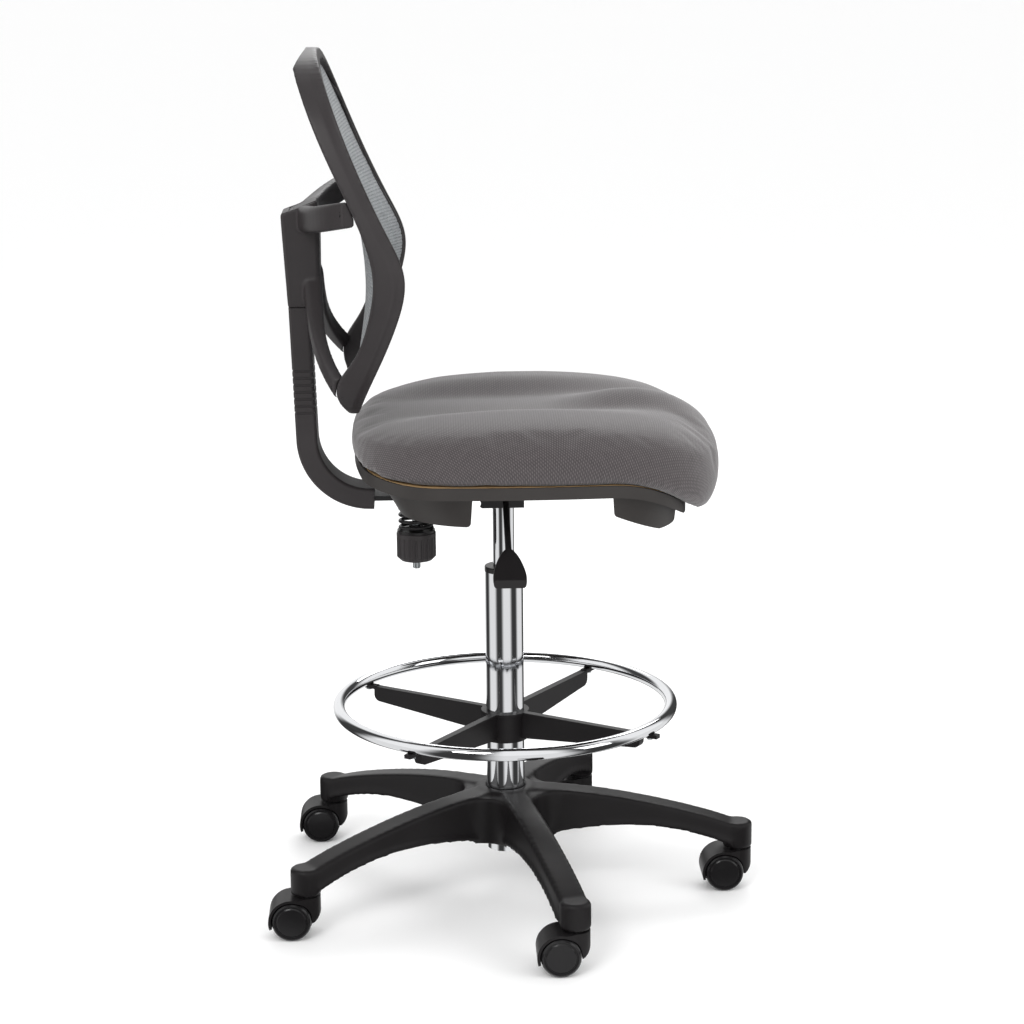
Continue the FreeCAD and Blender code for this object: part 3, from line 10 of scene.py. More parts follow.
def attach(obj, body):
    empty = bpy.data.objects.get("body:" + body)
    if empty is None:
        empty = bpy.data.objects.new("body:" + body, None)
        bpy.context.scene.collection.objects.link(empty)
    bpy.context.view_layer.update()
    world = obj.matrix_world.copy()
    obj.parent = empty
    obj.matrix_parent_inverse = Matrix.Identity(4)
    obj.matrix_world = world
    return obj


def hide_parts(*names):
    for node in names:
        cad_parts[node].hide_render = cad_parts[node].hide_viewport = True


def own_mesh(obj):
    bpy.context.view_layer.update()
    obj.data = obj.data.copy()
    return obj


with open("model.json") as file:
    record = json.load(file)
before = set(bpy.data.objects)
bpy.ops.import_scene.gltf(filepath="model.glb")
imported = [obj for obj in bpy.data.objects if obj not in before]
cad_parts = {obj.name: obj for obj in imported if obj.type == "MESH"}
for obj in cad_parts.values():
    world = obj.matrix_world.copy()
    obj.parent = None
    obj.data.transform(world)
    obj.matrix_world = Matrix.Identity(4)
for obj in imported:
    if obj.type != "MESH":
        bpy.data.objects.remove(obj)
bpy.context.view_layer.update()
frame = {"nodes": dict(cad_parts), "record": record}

# The chair faces +X and stands on Z = 0. Blender's lengths are metres; names and arguments
# that end in MM, and the outlines of the seat and back, are millimetres.
MM = 0.001


# ------------------------------------------------------------------ small helpers
def linear(hex_code):
    """An sRGB hex colour such as '#3a3637' as linear RGBA."""
    parts = [int(hex_code[i:i + 2], 16) / 255 for i in (1, 3, 5)]
    plain = [p / 12.92 if p <= 0.04045 else ((p + 0.055) / 1.055) ** 2.4 for p in parts]
    return (*plain, 1.0)


def put(tree, kind, inputs=None, **settings):
    """Adds one node. Settings are its attributes, inputs the values or links of its sockets."""
    node = tree.nodes.new(kind)
    for name, value in settings.items():
        setattr(node, name, value)
    for name, value in (inputs or {}).items():
        socket = node.inputs[name]
        if isinstance(value, bpy.types.NodeSocket):
            tree.links.new(value, socket)
        else:
            socket.default_value = value
    return node


def smoothstep(low, high, value):
    share = np.clip((value - low) / (high - low), 0.0, 1.0)
    return share * share * (3 - 2 * share)


def mesh_object(name, points, faces, smooth=True):
    """A new object at the origin from points in metres."""
    mesh = bpy.data.meshes.new(name)
    mesh.from_pydata([tuple(p) for p in points], [], [tuple(f) for f in faces])
    mesh.validate()
    mesh.shade_smooth() if smooth else mesh.shade_flat()
    made = bpy.data.objects.new(name, mesh)
    bpy.context.scene.collection.objects.link(made)
    return made


def applied(obj):
    """Applies the object's modifiers to its mesh and removes them."""
    graph = bpy.context.evaluated_depsgraph_get()
    done = bpy.data.meshes.new_from_object(obj.evaluated_get(graph))
    obj.modifiers.clear()
    obj.data = done
    return obj


def vertex_vectors(mesh, name):
    """One vector of every vertex, 'co' or 'normal', as rows."""
    flat = np.empty(len(mesh.vertices) * 3)
    mesh.vertices.foreach_get(name, flat)
    return flat.reshape(-1, 3)


def points_of(obj):
    return vertex_vectors(obj.data, "co")


def set_points(obj, points):
    obj.data.vertices.foreach_set("co", np.asarray(points, dtype=np.float32).ravel())
    obj.data.update()


# ------------------------------------------------------------------ materials
def material(name):
    """A new material: (material, tree, principled shader, object coordinates in metres)."""
    made = bpy.data.materials.new(name)
    made.use_nodes = True
    tree = made.node_tree
    tree.nodes.clear()
    shader = put(tree, "ShaderNodeBsdfPrincipled")
    put(tree, "ShaderNodeOutputMaterial", {"Surface": shader.outputs["BSDF"]})
    place = put(tree, "ShaderNodeTexCoord").outputs["Object"]
    return made, tree, shader, place


def link(tree, output, socket):
    tree.links.new(output, socket)


def noise(tree, place, size_mm, detail=2.0, rough=0.5):
    """Noise whose features are about size_mm across."""
    return put(tree, "ShaderNodeTexNoise",
               {"Vector": place, "Scale": 1 / (size_mm * MM), "Detail": detail,
                "Roughness": rough}).outputs["Fac"]


def between(tree, factor, low, high):
    """Maps a 0..1 factor to a range."""
    return put(tree, "ShaderNodeMapRange",
               {"Value": factor, "To Min": low, "To Max": high}).outputs["Result"]


def mix_colours(tree, factor, first, second):
    node = put(tree, "ShaderNodeMix", data_type="RGBA")
    for index, value in ((0, factor), (6, first), (7, second)):
        if isinstance(value, bpy.types.NodeSocket):
            tree.links.new(value, node.inputs[index])
        else:
            node.inputs[index].default_value = value
    return node.outputs[2]


def bumped(tree, shader, height, depth_mm, strength=1.0):
    bump = put(tree, "ShaderNodeBump",
               {"Height": height, "Distance": depth_mm * MM, "Strength": strength})
    link(tree, bump.outputs["Normal"], shader.inputs["Normal"])


def moulded(name, dark, light, rough, grain_mm, depth_mm, specular=0.3):
    """Injection-moulded plastic: spark-eroded grain, faint flow mottling, satin sheen."""
    made, tree, shader, place = material(name)
    mottle = noise(tree, place, 60.0, 3.0)
    grain = noise(tree, place, grain_mm, 2.0, 0.6)
    link(tree, mix_colours(tree, mottle, linear(dark), linear(light)),
         shader.inputs["Base Color"])
    link(tree, between(tree, mottle, rough - 0.05, rough + 0.07), shader.inputs["Roughness"])
    shader.inputs["Specular IOR Level"].default_value = specular
    shader.inputs["IOR"].default_value = 1.5
    bumped(tree, shader, grain, depth_mm, 0.5)
    return made


def glass_filled_nylon():
    """Glass-filled nylon of the base and hoods: deep warm black, fine eroded texture."""
    return moulded("glass_filled_nylon", "#131112", "#1c1a1b", 0.42, 1.6, 0.05, 0.2)


def polished_nylon():
    """Polished nylon of the wheels: nearly black, with a clear highlight."""
    return moulded("polished_nylon", "#141314", "#1c1b1c", 0.22, 6.0, 0.02)


def polypropylene():
    """Polypropylene of the seat's under-shell: dark grey satin with a fine grain."""
    return moulded("polypropylene", "#2d2a29", "#383533", 0.5, 1.8, 0.05)


def back_nylon():
    """Nylon of the back frame and bracket: charcoal satin, finer grain than the base."""
    return moulded("back_nylon", "#2a2728", "#363233", 0.44, 1.6, 0.05)


def acetal():
    """Acetal of bushes, paddle and washers: smooth black with a waxy sheen."""
    return moulded("acetal", "#161415", "#201e1f", 0.33, 4.0, 0.02)


def metal(name, colour, rough_low, rough_high, streak_mm, grain_mm):
    """Bare metal whose roughness varies in streaks along the length."""
    made, tree, shader, place = material(name)
    stretched = put(tree, "ShaderNodeMapping",
                    {"Vector": place, "Scale": (1.0, 1.0, grain_mm / streak_mm)})
    streaks = noise(tree, stretched.outputs["Vector"], grain_mm, 3.0)
    link(tree, between(tree, streaks, rough_low, rough_high), shader.inputs["Roughness"])
    shader.inputs["Base Color"].default_value = linear(colour)
    shader.inputs["Metallic"].default_value = 1.0
    return made


def chrome():
    """Bright chromium plate on steel tube: mirror-like, with faint polishing haze."""
    return metal("chrome_plate", "#dfe0e2", 0.03, 0.09, 300.0, 8.0)


def ground_steel():
    """Centreless-ground steel: bright grey with fine streaks along the shaft."""
    return metal("ground_steel", "#b9b9ba", 0.18, 0.34, 60.0, 1.5)


def zinc_plate():
    """Bright zinc plating on fasteners: slightly blue grey and softly mottled."""
    return metal("zinc_plate", "#aeb2b4", 0.25, 0.42, 4.0, 3.0)


def powder_coat():
    """Black powder coat on pressed steel: orange-peel texture, semi-gloss."""
    made, tree, shader, place = material("powder_coat")
    peel = noise(tree, place, 2.2, 1.0)
    mottle = noise(tree, place, 45.0, 2.0)
    link(tree, mix_colours(tree, mottle, linear("#151415"), linear("#201f20")),
         shader.inputs["Base Color"])
    link(tree, between(tree, peel, 0.3, 0.42), shader.inputs["Roughness"])
    shader.inputs["Specular IOR Level"].default_value = 0.3
    bumped(tree, shader, peel, 0.08, 0.6)
    return made


def beech_plywood():
    """Rotary-cut beech plywood: long pale grain."""
    made, tree, shader, place = material("beech_plywood")
    long_grain = put(tree, "ShaderNodeMapping", {"Vector": place, "Scale": (0.08, 1.0, 1.0)})
    grain = noise(tree, long_grain.outputs["Vector"], 3.0, 4.0)
    link(tree, mix_colours(tree, grain, linear("#b08a5c"), linear("#cfae80")),
         shader.inputs["Base Color"])
    shader.inputs["Roughness"].default_value = 0.6
    bumped(tree, shader, grain, 0.1, 0.4)
    return made


def twill_fabric():
    """Polyester twill of the seat: warm grey, fine diagonal ribs and a soft sheen.

    Real twill ribs are about 1 mm apart; they are drawn at 3.4 mm so that they show.
    """
    made, tree, shader, _ = material("twill_fabric")
    cloth = put(tree, "ShaderNodeAttribute", attribute_name="cloth").outputs["Vector"]
    rib_mm, thread_mm = 3.4, 3.0
    wobble = noise(tree, cloth, 9.0, 2.0)
    ribs = put(tree, "ShaderNodeTexWave",
               {"Vector": cloth, "Scale": math.pi / (5 * math.sqrt(2) * rib_mm * MM),
                "Distortion": 0.4, "Detail": 1.0, "Detail Scale": 2.0},
               bands_direction="DIAGONAL", wave_profile="SIN")
    threads = put(tree, "ShaderNodeTexWave",
                  {"Vector": cloth, "Scale": math.pi / (10 * thread_mm * MM), "Distortion": 0.2},
                  bands_direction="X", wave_profile="SIN")
    weave = put(tree, "ShaderNodeMath",
                {0: ribs.outputs["Fac"], 1: threads.outputs["Fac"]}, operation="MULTIPLY")
    tone = put(tree, "ShaderNodeMath", {0: wobble, 1: 0.3, 2: weave.outputs["Value"]},
               operation="MULTIPLY_ADD")
    shade = put(tree, "ShaderNodeMapRange", {"Value": tone.outputs["Value"], "From Min": 0.1,
                                             "From Max": 1.0})
    link(tree, mix_colours(tree, shade.outputs["Result"], linear("#3c3839"),
                           linear("#5d5758")), shader.inputs["Base Color"])
    shader.inputs["Roughness"].default_value = 0.88
    shader.inputs["Specular IOR Level"].default_value = 0.25
    shader.inputs["Sheen Weight"].default_value = 0.35
    shader.inputs["Sheen Roughness"].default_value = 0.5
    bumped(tree, shader, weave.outputs["Value"], 0.35, 0.8)
    return made


def knitted_mesh():
    """Knitted polyester of the back: cool grey yarn, with painted shade that darkens the stitch
    hollows.
    """
    made, tree, shader, _ = material("knitted_mesh")
    cloth = put(tree, "ShaderNodeAttribute", attribute_name="cloth").outputs["Vector"]
    stitches = put(tree, "ShaderNodeTexVoronoi", {"Vector": cloth, "Scale": 1 / (2.4 * MM)})
    wobble = noise(tree, cloth, 14.0, 2.0)
    # painted shade: the colour darkens towards each stitch hollow (the Voronoi points), varied
    # at random by the wobble noise
    tone = put(tree, "ShaderNodeMath", {0: stitches.outputs["Distance"], 1: wobble},
               operation="MULTIPLY")
    link(tree, mix_colours(tree, tone.outputs["Value"], linear("#6f7376"),
                           linear("#a3a6a8")), shader.inputs["Base Color"])
    shader.inputs["Roughness"].default_value = 0.75
    shader.inputs["Sheen Weight"].default_value = 0.2
    bumped(tree, shader, stitches.outputs["Distance"], 0.25, 0.7)
    return made


FINISHES = {
    "base_nylon": glass_filled_nylon(), "wheel_nylon": polished_nylon(), "chrome": chrome(),
    "ground_steel": ground_steel(), "zinc_steel": zinc_plate(), "black_steel": powder_coat(),
    "bush_plastic": acetal(), "shell_plastic": polypropylene(), "back_plastic": back_nylon(),
    "mesh_fabric": knitted_mesh(), "seat_fabric": twill_fabric(), "plywood": beech_plywood(),
}


def finish(obj, slot):
    """Gives a new piece the material of a slot in the record."""
    obj.data.materials.clear()
    obj.data.materials.append(FINISHES[slot])


def dress_cad_nodes():
    """Every CAD node that stays gets the finish of its slot in the record."""
    for part in frame["record"]["subparts"]:
        obj = frame["nodes"][part["node"]]
        for slot in obj.material_slots:
            slot.material = FINISHES[part["material_slot"]]
    for slot in frame["nodes"]["frame_screws"].material_slots:
        slot.material = FINISHES["black_steel"]


# ------------------------------------------------------------------ camera, light, floor
def add_camera():
    """Side view from the chair's right, a little above it, with a long lens."""
    lens_mm, sensor_mm = 92.26, 36.0
    place = (-0.1041, -3.3094, 1.2788)
    ahead = Vector((0.0340, 0.9735, -0.2260))
    roll = -0.009
    data = bpy.data.cameras.new("camera")
    data.lens = lens_mm
    data.sensor_width = sensor_mm
    camera = bpy.data.objects.new("camera", data)
    bpy.context.scene.collection.objects.link(camera)
    camera.location = place
    camera.rotation_mode = "QUATERNION"
    camera.rotation_quaternion = (ahead.to_track_quat("-Z", "Y")
                                  @ Quaternion((0, 0, 1), roll))
    bpy.context.scene.camera = camera


def add_light(name, place, target, size, watts):
    data = bpy.data.lights.new(name, "AREA")
    data.shape = "RECTANGLE"
    data.size, data.size_y = size
    data.energy = watts
    lamp = bpy.data.objects.new(name, data)
    bpy.context.scene.collection.objects.link(lamp)
    lamp.location = place
    lamp.rotation_mode = "QUATERNION"
    lamp.rotation_quaternion = (Vector(target) - Vector(place)).to_track_quat("-Z", "Y")


def mirrored_bands(tree, way, dim, bright):
    """Brightness that swings between two values, four times around the upright axis."""
    count, phase = 4.0, 0.6
    parts = put(tree, "ShaderNodeSeparateXYZ", {"Vector": way})
    turn = put(tree, "ShaderNodeMath", {0: parts.outputs["Y"], 1: parts.outputs["X"]},
               operation="ARCTAN2").outputs["Value"]
    wave = put(tree, "ShaderNodeMath", {0: turn, 1: count, 2: phase},
               operation="MULTIPLY_ADD").outputs["Value"]
    swing = put(tree, "ShaderNodeMath", {0: wave}, operation="SINE").outputs["Value"]
    return put(tree, "ShaderNodeMapRange",
               {"Value": swing, "From Min": -0.8, "From Max": 0.5, "To Min": dim,
                "To Max": bright}, interpolation_type="SMOOTHSTEP").outputs["Result"]


def floor_material():
    """Matt white paper whose mirror image is banded, so that chrome reads as chrome."""
    made, tree, shader, place = material("studio_paper")
    shader.inputs["Base Color"].default_value = linear("#fbfbfb")
    shader.inputs["Roughness"].default_value = 0.9
    output = shader.outputs["BSDF"].links[0].to_node
    glow = put(tree, "ShaderNodeEmission", {"Strength": mirrored_bands(tree, place, 0.05, 0.95)})
    mirrored = put(tree, "ShaderNodeLightPath").outputs["Is Glossy Ray"]
    both = put(tree, "ShaderNodeMixShader",
               {0: mirrored, 1: shader.outputs["BSDF"], 2: glow.outputs["Emission"]})
    link(tree, both.outputs["Shader"], output.inputs["Surface"])
    return made


def add_studio():
    """White floor, soft lights and a sky that shows dark bands only in reflections."""
    half = 60.0
    paper = mesh_object("floor", [(-half, -half, 0), (half, -half, 0), (half, half, 0),
                                  (-half, half, 0)], [(0, 1, 2, 3)], smooth=False)
    paper.data.materials.append(floor_material())
    bpy.context.scene.view_settings.view_transform = "Standard"
    world = bpy.data.worlds.new("studio")
    world.use_nodes = True
    tree = world.node_tree
    tree.nodes.clear()
    way = put(tree, "ShaderNodeTexCoord").outputs["Generated"]
    bright = mirrored_bands(tree, way, 0.06, 1.1)
    glossy = put(tree, "ShaderNodeLightPath").outputs["Is Glossy Ray"]
    strength = put(tree, "ShaderNodeMix", {"Factor": glossy, "A": 1.05, "B": bright},
                   data_type="FLOAT").outputs["Result"]
    sky = put(tree, "ShaderNodeBackground", {"Color": (1.0, 1.0, 1.0, 1.0),
                                             "Strength": strength})
    put(tree, "ShaderNodeOutputWorld", {"Surface": sky.outputs["Background"]})
    bpy.context.scene.world = world
    add_light("key", (-1.4, -2.8, 2.8), (0, 0, 0.6), (1.4, 1.4), 45)
    add_light("fill", (2.6, -1.6, 1.4), (0, 0, 0.5), (1.2, 2.0), 18)
    add_light("rim", (0.6, 2.6, 2.4), (0, 0, 0.8), (2.0, 1.0), 30)


# ------------------------------------------------------------------ shapes from CAD nodes
def cad_copy(name, *nodes):
    """A new object with the merged meshes of some CAD nodes."""
    whole = bmesh.new()
    for node in nodes:
        whole.from_mesh(frame["nodes"][node].data)
    bmesh.ops.remove_doubles(whole, verts=whole.verts, dist=0.02 * MM)
    mesh = bpy.data.meshes.new(name)
    whole.to_mesh(mesh)
    whole.free()
    made = bpy.data.objects.new(name, mesh)
    bpy.context.scene.collection.objects.link(made)
    return made


def softened(obj, passes):
    """Applies the object's modifiers and then smoothing passes, and shades it smooth."""
    soften = obj.modifiers.new("soften", "SMOOTH")
    soften.factor = 0.5
    soften.iterations = passes
    applied(obj)
    obj.data.shade_smooth()


def remeshed(obj, voxel_mm, passes):
    """Even quads over the whole object, with its edges softened by smoothing passes."""
    grid = obj.modifiers.new("grid", "REMESH")
    grid.mode = "VOXEL"
    grid.voxel_size = voxel_mm * MM
    softened(obj, passes)


def add_prism(obj, outline, low, high):
    """Adds an upright prism over a plan outline to the object's mesh."""
    body = bmesh.new()
    body.from_mesh(obj.data)
    lower = [body.verts.new((x, y, low)) for x, y in outline]
    upper = [body.verts.new((x, y, high)) for x, y in outline]
    body.faces.new(reversed(lower))
    body.faces.new(upper)
    for i in range(len(outline)):
        j = (i + 1) % len(outline)
        body.faces.new((lower[i], lower[j], upper[j], upper[i]))
    body.to_mesh(obj.data)
    body.free()


# ------------------------------------------------------------------ base
ARM_ANGLES = [math.radians(-4 + 72 * number) for number in range(5)]


def web_outline(middle):
    """Plan of the web between two arms, rounded where it joins them."""
    arm_side, corner = 19 * MM, 32 * MM
    half_angle = math.pi / 5
    centre_r = (arm_side + corner) / math.sin(half_angle)
    centre = np.array([math.cos(middle), math.sin(middle)]) * centre_r
    outline = []
    for share in np.linspace(-1, 1, 13):
        turn = middle + math.pi + share * (math.pi / 2 - half_angle)
        outline.append(centre + corner * np.array([math.cos(turn), math.sin(turn)]))
    return outline


def five_arm_base():
    """Moulded base with rounded edges and filleted webs between its arms."""
    hub_wall_r, web_low, web_high = 32.8 * MM, 74 * MM, 136.5 * MM
    base = cad_copy("five_arm_base", "base_star")
    for angle in ARM_ANGLES:
        inner = [hub_wall_r * np.array([math.cos(angle + turn), math.sin(angle + turn)])
                 for turn in np.linspace(0.5, 0.756, 3)]
        add_prism(base, inner + web_outline(angle + math.pi / 5), web_low, web_high)
    remeshed(base, 2.6, 6)
    finish(base, "base_nylon")
    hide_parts("base_star")
    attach(base, "base")


# ------------------------------------------------------------------ seat
SEAM_MM = 594.0
SEAM_REAR_X, SEAM_REAR_R = -90, 390
SEAM_FRONT_X, SEAM_SLOPE_X, SEAM_FRONT_R = 125, 225, 135
BOARD_GAP_MM = 0.3
PAD_MIDDLE, PAD_HALF_LENGTH, PAD_HALF_WIDTH = 37.0, 235.0, 243.0


def seam_height(x):
    """Height in mm of the line between shell and cushion.

    It rises in an arc at the rear. At the front it falls in an arc, then in a straight slope.
    """
    x = np.asarray(x, dtype=float)
    behind = np.clip(SEAM_REAR_X - x, 0, 300)
    rear = SEAM_MM + SEAM_REAR_R - np.sqrt(SEAM_REAR_R**2 - behind**2)
    reach = np.clip(x - SEAM_FRONT_X, 0, SEAM_SLOPE_X - SEAM_FRONT_X)
    rise = np.sqrt(SEAM_FRONT_R**2 - reach**2)
    beyond = np.clip(x - SEAM_SLOPE_X, 0, 100)
    front = SEAM_MM - SEAM_FRONT_R + rise - beyond * reach / rise
    return np.where(x < 0, rear, front)


def cushion_top(x, y):
    """Height in mm of the pad's top before its edges turn down.

    The sides stay level, the seat is dished between them, and a low crest between the
    thighs rises towards the front.
    """
    side = np.interp(x, [-198, -150, -82, 0, 60, 124, 160, 197, 246, 272],
                     [646, 652, 661, 665, 665, 662, 660, 656, 646, 638])
    crest = np.interp(x, [-198, -150, -82, 16, 60, 100, 140, 177, 217, 246, 272],
                      [646, 646, 648, 648, 650, 658, 667, 670, 667, 660, 652])
    trough = np.interp(x, [-198, 0, 120, 200, 272], [646, 646, 650, 654, 650])
    spread = np.abs(y)
    near_crest = 1 - smoothstep(0, 70, spread)
    near_side = smoothstep(50, 125, spread)
    middle = trough + (crest - trough) * near_crest
    return middle + (side - middle) * near_side


def equator_height(x):
    """Height in mm at which the pad is widest."""
    return np.interp(x, [-198, 100, 200, 272], [622, 618, 608, 592])


def cushion_form():
    """Closed pad in rings: crowned top, full sides, tucked rim and a base on the board."""
    fullness, edge_power = 3.2, 0.8
    turns = np.linspace(0, 2 * math.pi, 144, endpoint=False)
    cosines, sines = np.cos(turns), np.sin(turns)
    tuck = 0.972 - 0.14 * np.clip(cosines, 0, 1) ** 2

    def outline(roundness):
        """Plan of the pad about its middle: 2 is an ellipse, more is squarer."""
        reach = (np.abs(cosines) ** roundness + np.abs(sines) ** roundness) ** (-1 / roundness)
        return PAD_HALF_LENGTH * reach * cosines, PAD_HALF_WIDTH * reach * sines

    out_x, out_y = outline(3.0)
    rings = []
    for angle in np.linspace(0.02, math.pi / 2, 40):
        share = math.sin(angle) ** edge_power
        x, y = PAD_MIDDLE + out_x * share, out_y * share
        equator = equator_height(x)
        drop = (1 - share**fullness) ** (1 / fullness)
        rings.append((x, y, equator + (cushion_top(x, y) - equator) * drop))
    for angle in np.linspace(0, math.pi / 2, 9)[1:]:
        out_x, out_y = outline(3.0 + math.sin(angle))
        share = 1 - (1 - tuck) * (1 - math.cos(angle))
        x, y = PAD_MIDDLE + out_x * share, out_y * share
        equator = equator_height(x)
        low = seam_height(PAD_MIDDLE + out_x * tuck)
        rings.append((x, y, equator + (low - equator) * math.sin(angle)))
    for inner in np.linspace(0.9, 0.03, 12):
        x, y = PAD_MIDDLE + out_x * tuck * inner, out_y * tuck * inner
        rings.append((x, y, seam_height(x) + BOARD_GAP_MM))
    points = np.concatenate([np.stack(ring, 1) for ring in rings]) * MM
    count, size = len(rings), len(turns)
    faces = []
    for ring in range(count - 1):
        for step in range(size):
            following = (step + 1) % size
            faces.append((ring * size + step, (ring + 1) * size + step,
                          (ring + 1) * size + following, ring * size + following))
    faces.append(tuple(range(size)))
    faces.append(tuple(reversed(range((count - 1) * size, count * size))))
    return mesh_object("seat_pad", points, faces)


def inflated(obj, pressure, cap_mm, frames=20):
    """Inflates a pad as cloth, moving no point further than the cap, and keeps the result."""
    stiffness = 25
    start = points_of(obj)
    cloth = obj.modifiers.new("cloth", "CLOTH").settings
    cloth.use_pressure = True
    cloth.uniform_pressure_force = pressure
    cloth.effector_weights.gravity = 0
    cloth.quality = 4
    cloth.tension_stiffness = cloth.compression_stiffness = stiffness
    scene = bpy.context.scene
    for number in range(1, frames + 1):
        scene.frame_set(number)
    graph = bpy.context.evaluated_depsgraph_get()
    swollen = bpy.data.meshes.new_from_object(obj.evaluated_get(graph))
    obj.modifiers.clear()
    scene.frame_set(1)
    move = vertex_vectors(swollen, "co") - start
    length = np.linalg.norm(move, axis=1, keepdims=True)
    kept = np.minimum(1, cap_mm * MM / np.maximum(length, 1e-9))
    set_points(obj, start + move * kept)


def store_cloth(obj, values):
    """Stores the cloth coordinates in metres that the fabric materials read."""
    layer = obj.data.attributes.new("cloth", "FLOAT_VECTOR", "POINT")
    layer.data.foreach_set("vector", np.asarray(values, dtype=np.float32).ravel())


def unrolled(obj):
    """Gives the pad cloth coordinates: the plan on top, continued down its sides."""
    top_level, longest_drop = 652 * MM, 100 * MM
    points = points_of(obj)
    plan = points[:, :2] - np.array([PAD_MIDDLE * MM, 0.0])
    radius = np.maximum(np.linalg.norm(plan, axis=1), 1 * MM)
    drop = np.clip(top_level - points[:, 2], 0, longest_drop)
    spread = plan * (1 + drop / radius)[:, None]
    store_cloth(obj, np.column_stack([spread, np.zeros(len(points))]))


def seat_pad():
    """Foam pad in twill: swollen by cloth pressure, resting flat on the board."""
    pad = cushion_form()
    remeshed(pad, 6.0, 1)
    inflated(pad, 4.0, 5.0)
    points = points_of(pad)
    board = (seam_height(points[:, 0] / MM) + BOARD_GAP_MM) * MM
    points[:, 2] = np.maximum(points[:, 2], board)
    set_points(pad, points)
    finer = pad.modifiers.new("finer", "SUBSURF")
    finer.levels = finer.render_levels = 1
    applied(pad)
    pad.data.shade_smooth()
    unrolled(pad)
    finish(pad, "seat_fabric")
    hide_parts("seat_cushion")
    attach(pad, "seat")


# ------------------------------------------------------------------ backrest
HEIGHTS = [655, 740, 795, 845, 895, 975, 1050, 1125]
RAIL_FRONT_MM = [-183, -151, -129, -121, -140, -177, -206, -231]
MESH_MIDDLE_MM = [-190, -178, -171, -172, -179, -196, -217, -237]
MESH_SETBACK_MM, MESH_EDGE_MM = 3, 198
BACK_CENTRE_MM = 880
BANDS = {"upper": (980, 1112, 0.40), "middle": (880, 980, 0.46), "lower": (660, 880, 0.52)}


def smooth_line(heights, values):
    """A natural cubic through the values, as a function of height."""
    heights, values = np.array(heights, float), np.array(values, float)
    gaps, slopes = np.diff(heights), np.diff(values) / np.diff(heights)
    size = len(heights)
    system, right = np.eye(size), np.zeros(size)
    for i in range(1, size - 1):
        system[i, i - 1:i + 2] = gaps[i - 1], 2 * (gaps[i - 1] + gaps[i]), gaps[i]
        right[i] = 6 * (slopes[i] - slopes[i - 1])
    bends = np.linalg.solve(system, right)

    def at(height):
        i = np.clip(np.searchsorted(heights, height) - 1, 0, size - 2)
        left, rest = height - heights[i], heights[i + 1] - height
        gap = gaps[i]
        return ((bends[i] * rest**3 + bends[i + 1] * left**3) / (6 * gap)
                + (values[i] / gap - bends[i] * gap / 6) * rest
                + (values[i + 1] / gap - bends[i + 1] * gap / 6) * left)

    return at


rail_front = smooth_line(HEIGHTS, RAIL_FRONT_MM)
mesh_middle = smooth_line(HEIGHTS, MESH_MIDDLE_MM)


def mesh_depth(y, z):
    """Forward place in mm of the mesh's front: deepest on the middle line of the back."""
    middle = mesh_middle(z)
    return middle + (rail_front(z) - MESH_SETBACK_MM - middle) * (y / MESH_EDGE_MM) ** 2


def tree_input(tree, name, kind, value):
    socket = tree.interface.new_socket(name, in_out="INPUT", socket_type=kind)
    socket.default_value = value
    return socket


def perforated_tree():
    """Flat perforated sheet: a staggered lattice whose cells are pierced."""
    tree = bpy.data.node_groups.new("perforated_sheet", "GeometryNodeTree")
    tree.interface.new_socket("Geometry", in_out="OUTPUT", socket_type="NodeSocketGeometry")
    for name, value in (("Width", 0.42), ("Height", 0.15), ("Pitch", 0.004),
                        ("Row pitch", 0.004), ("Opening", 0.5)):
        tree_input(tree, name, "NodeSocketFloat", value)
    given = put(tree, "NodeGroupInput").outputs

    def worked(operation, first, second=0.0):
        return put(tree, "ShaderNodeMath", {0: first, 1: second},
                   operation=operation).outputs["Value"]

    columns = worked("FLOOR", worked("DIVIDE", given["Width"], given["Pitch"]))
    rows = worked("FLOOR", worked("DIVIDE", given["Height"], given["Row pitch"]))
    grid = put(tree, "GeometryNodeMeshGrid",
               {"Size X": given["Width"], "Size Y": given["Height"],
                "Vertices X": columns, "Vertices Y": rows})
    index = put(tree, "GeometryNodeInputIndex").outputs["Index"]
    row_of = worked("MODULO", index, rows)
    stagger = worked("MULTIPLY", worked("MODULO", row_of, 2.0),
                     worked("MULTIPLY", given["Pitch"], 0.5))
    shift = put(tree, "ShaderNodeCombineXYZ", {"X": stagger}).outputs["Vector"]
    placed = put(tree, "GeometryNodeSetPosition",
                 {"Geometry": grid.outputs["Mesh"], "Offset": shift}).outputs["Geometry"]
    halves = put(tree, "GeometryNodeTriangulate", {"Mesh": placed},
                 quad_method="SHORTEST_DIAGONAL").outputs["Mesh"]
    cells = put(tree, "GeometryNodeDualMesh", {"Mesh": halves}).outputs["Dual Mesh"]
    drawn = put(tree, "GeometryNodeExtrudeMesh", {"Mesh": cells, "Offset Scale": 0.0},
                mode="FACES")
    drawn.inputs["Individual"].default_value = True
    pierced = put(tree, "GeometryNodeScaleElements",
                  {"Geometry": drawn.outputs["Mesh"], "Selection": drawn.outputs["Top"],
                   "Scale": given["Opening"]}).outputs["Geometry"]
    open_cells = put(tree, "GeometryNodeDeleteGeometry",
                     {"Geometry": pierced, "Selection": drawn.outputs["Top"]},
                     domain="FACE").outputs["Geometry"]
    real = put(tree, "GeometryNodeRealizeInstances", {"Geometry": open_cells})
    made = put(tree, "GeometryNodeSetMaterial", {"Geometry": real.outputs["Geometry"],
                                                 "Material": FINISHES["mesh_fabric"]})
    put(tree, "NodeGroupOutput", {"Geometry": made.outputs["Geometry"]})
    return tree


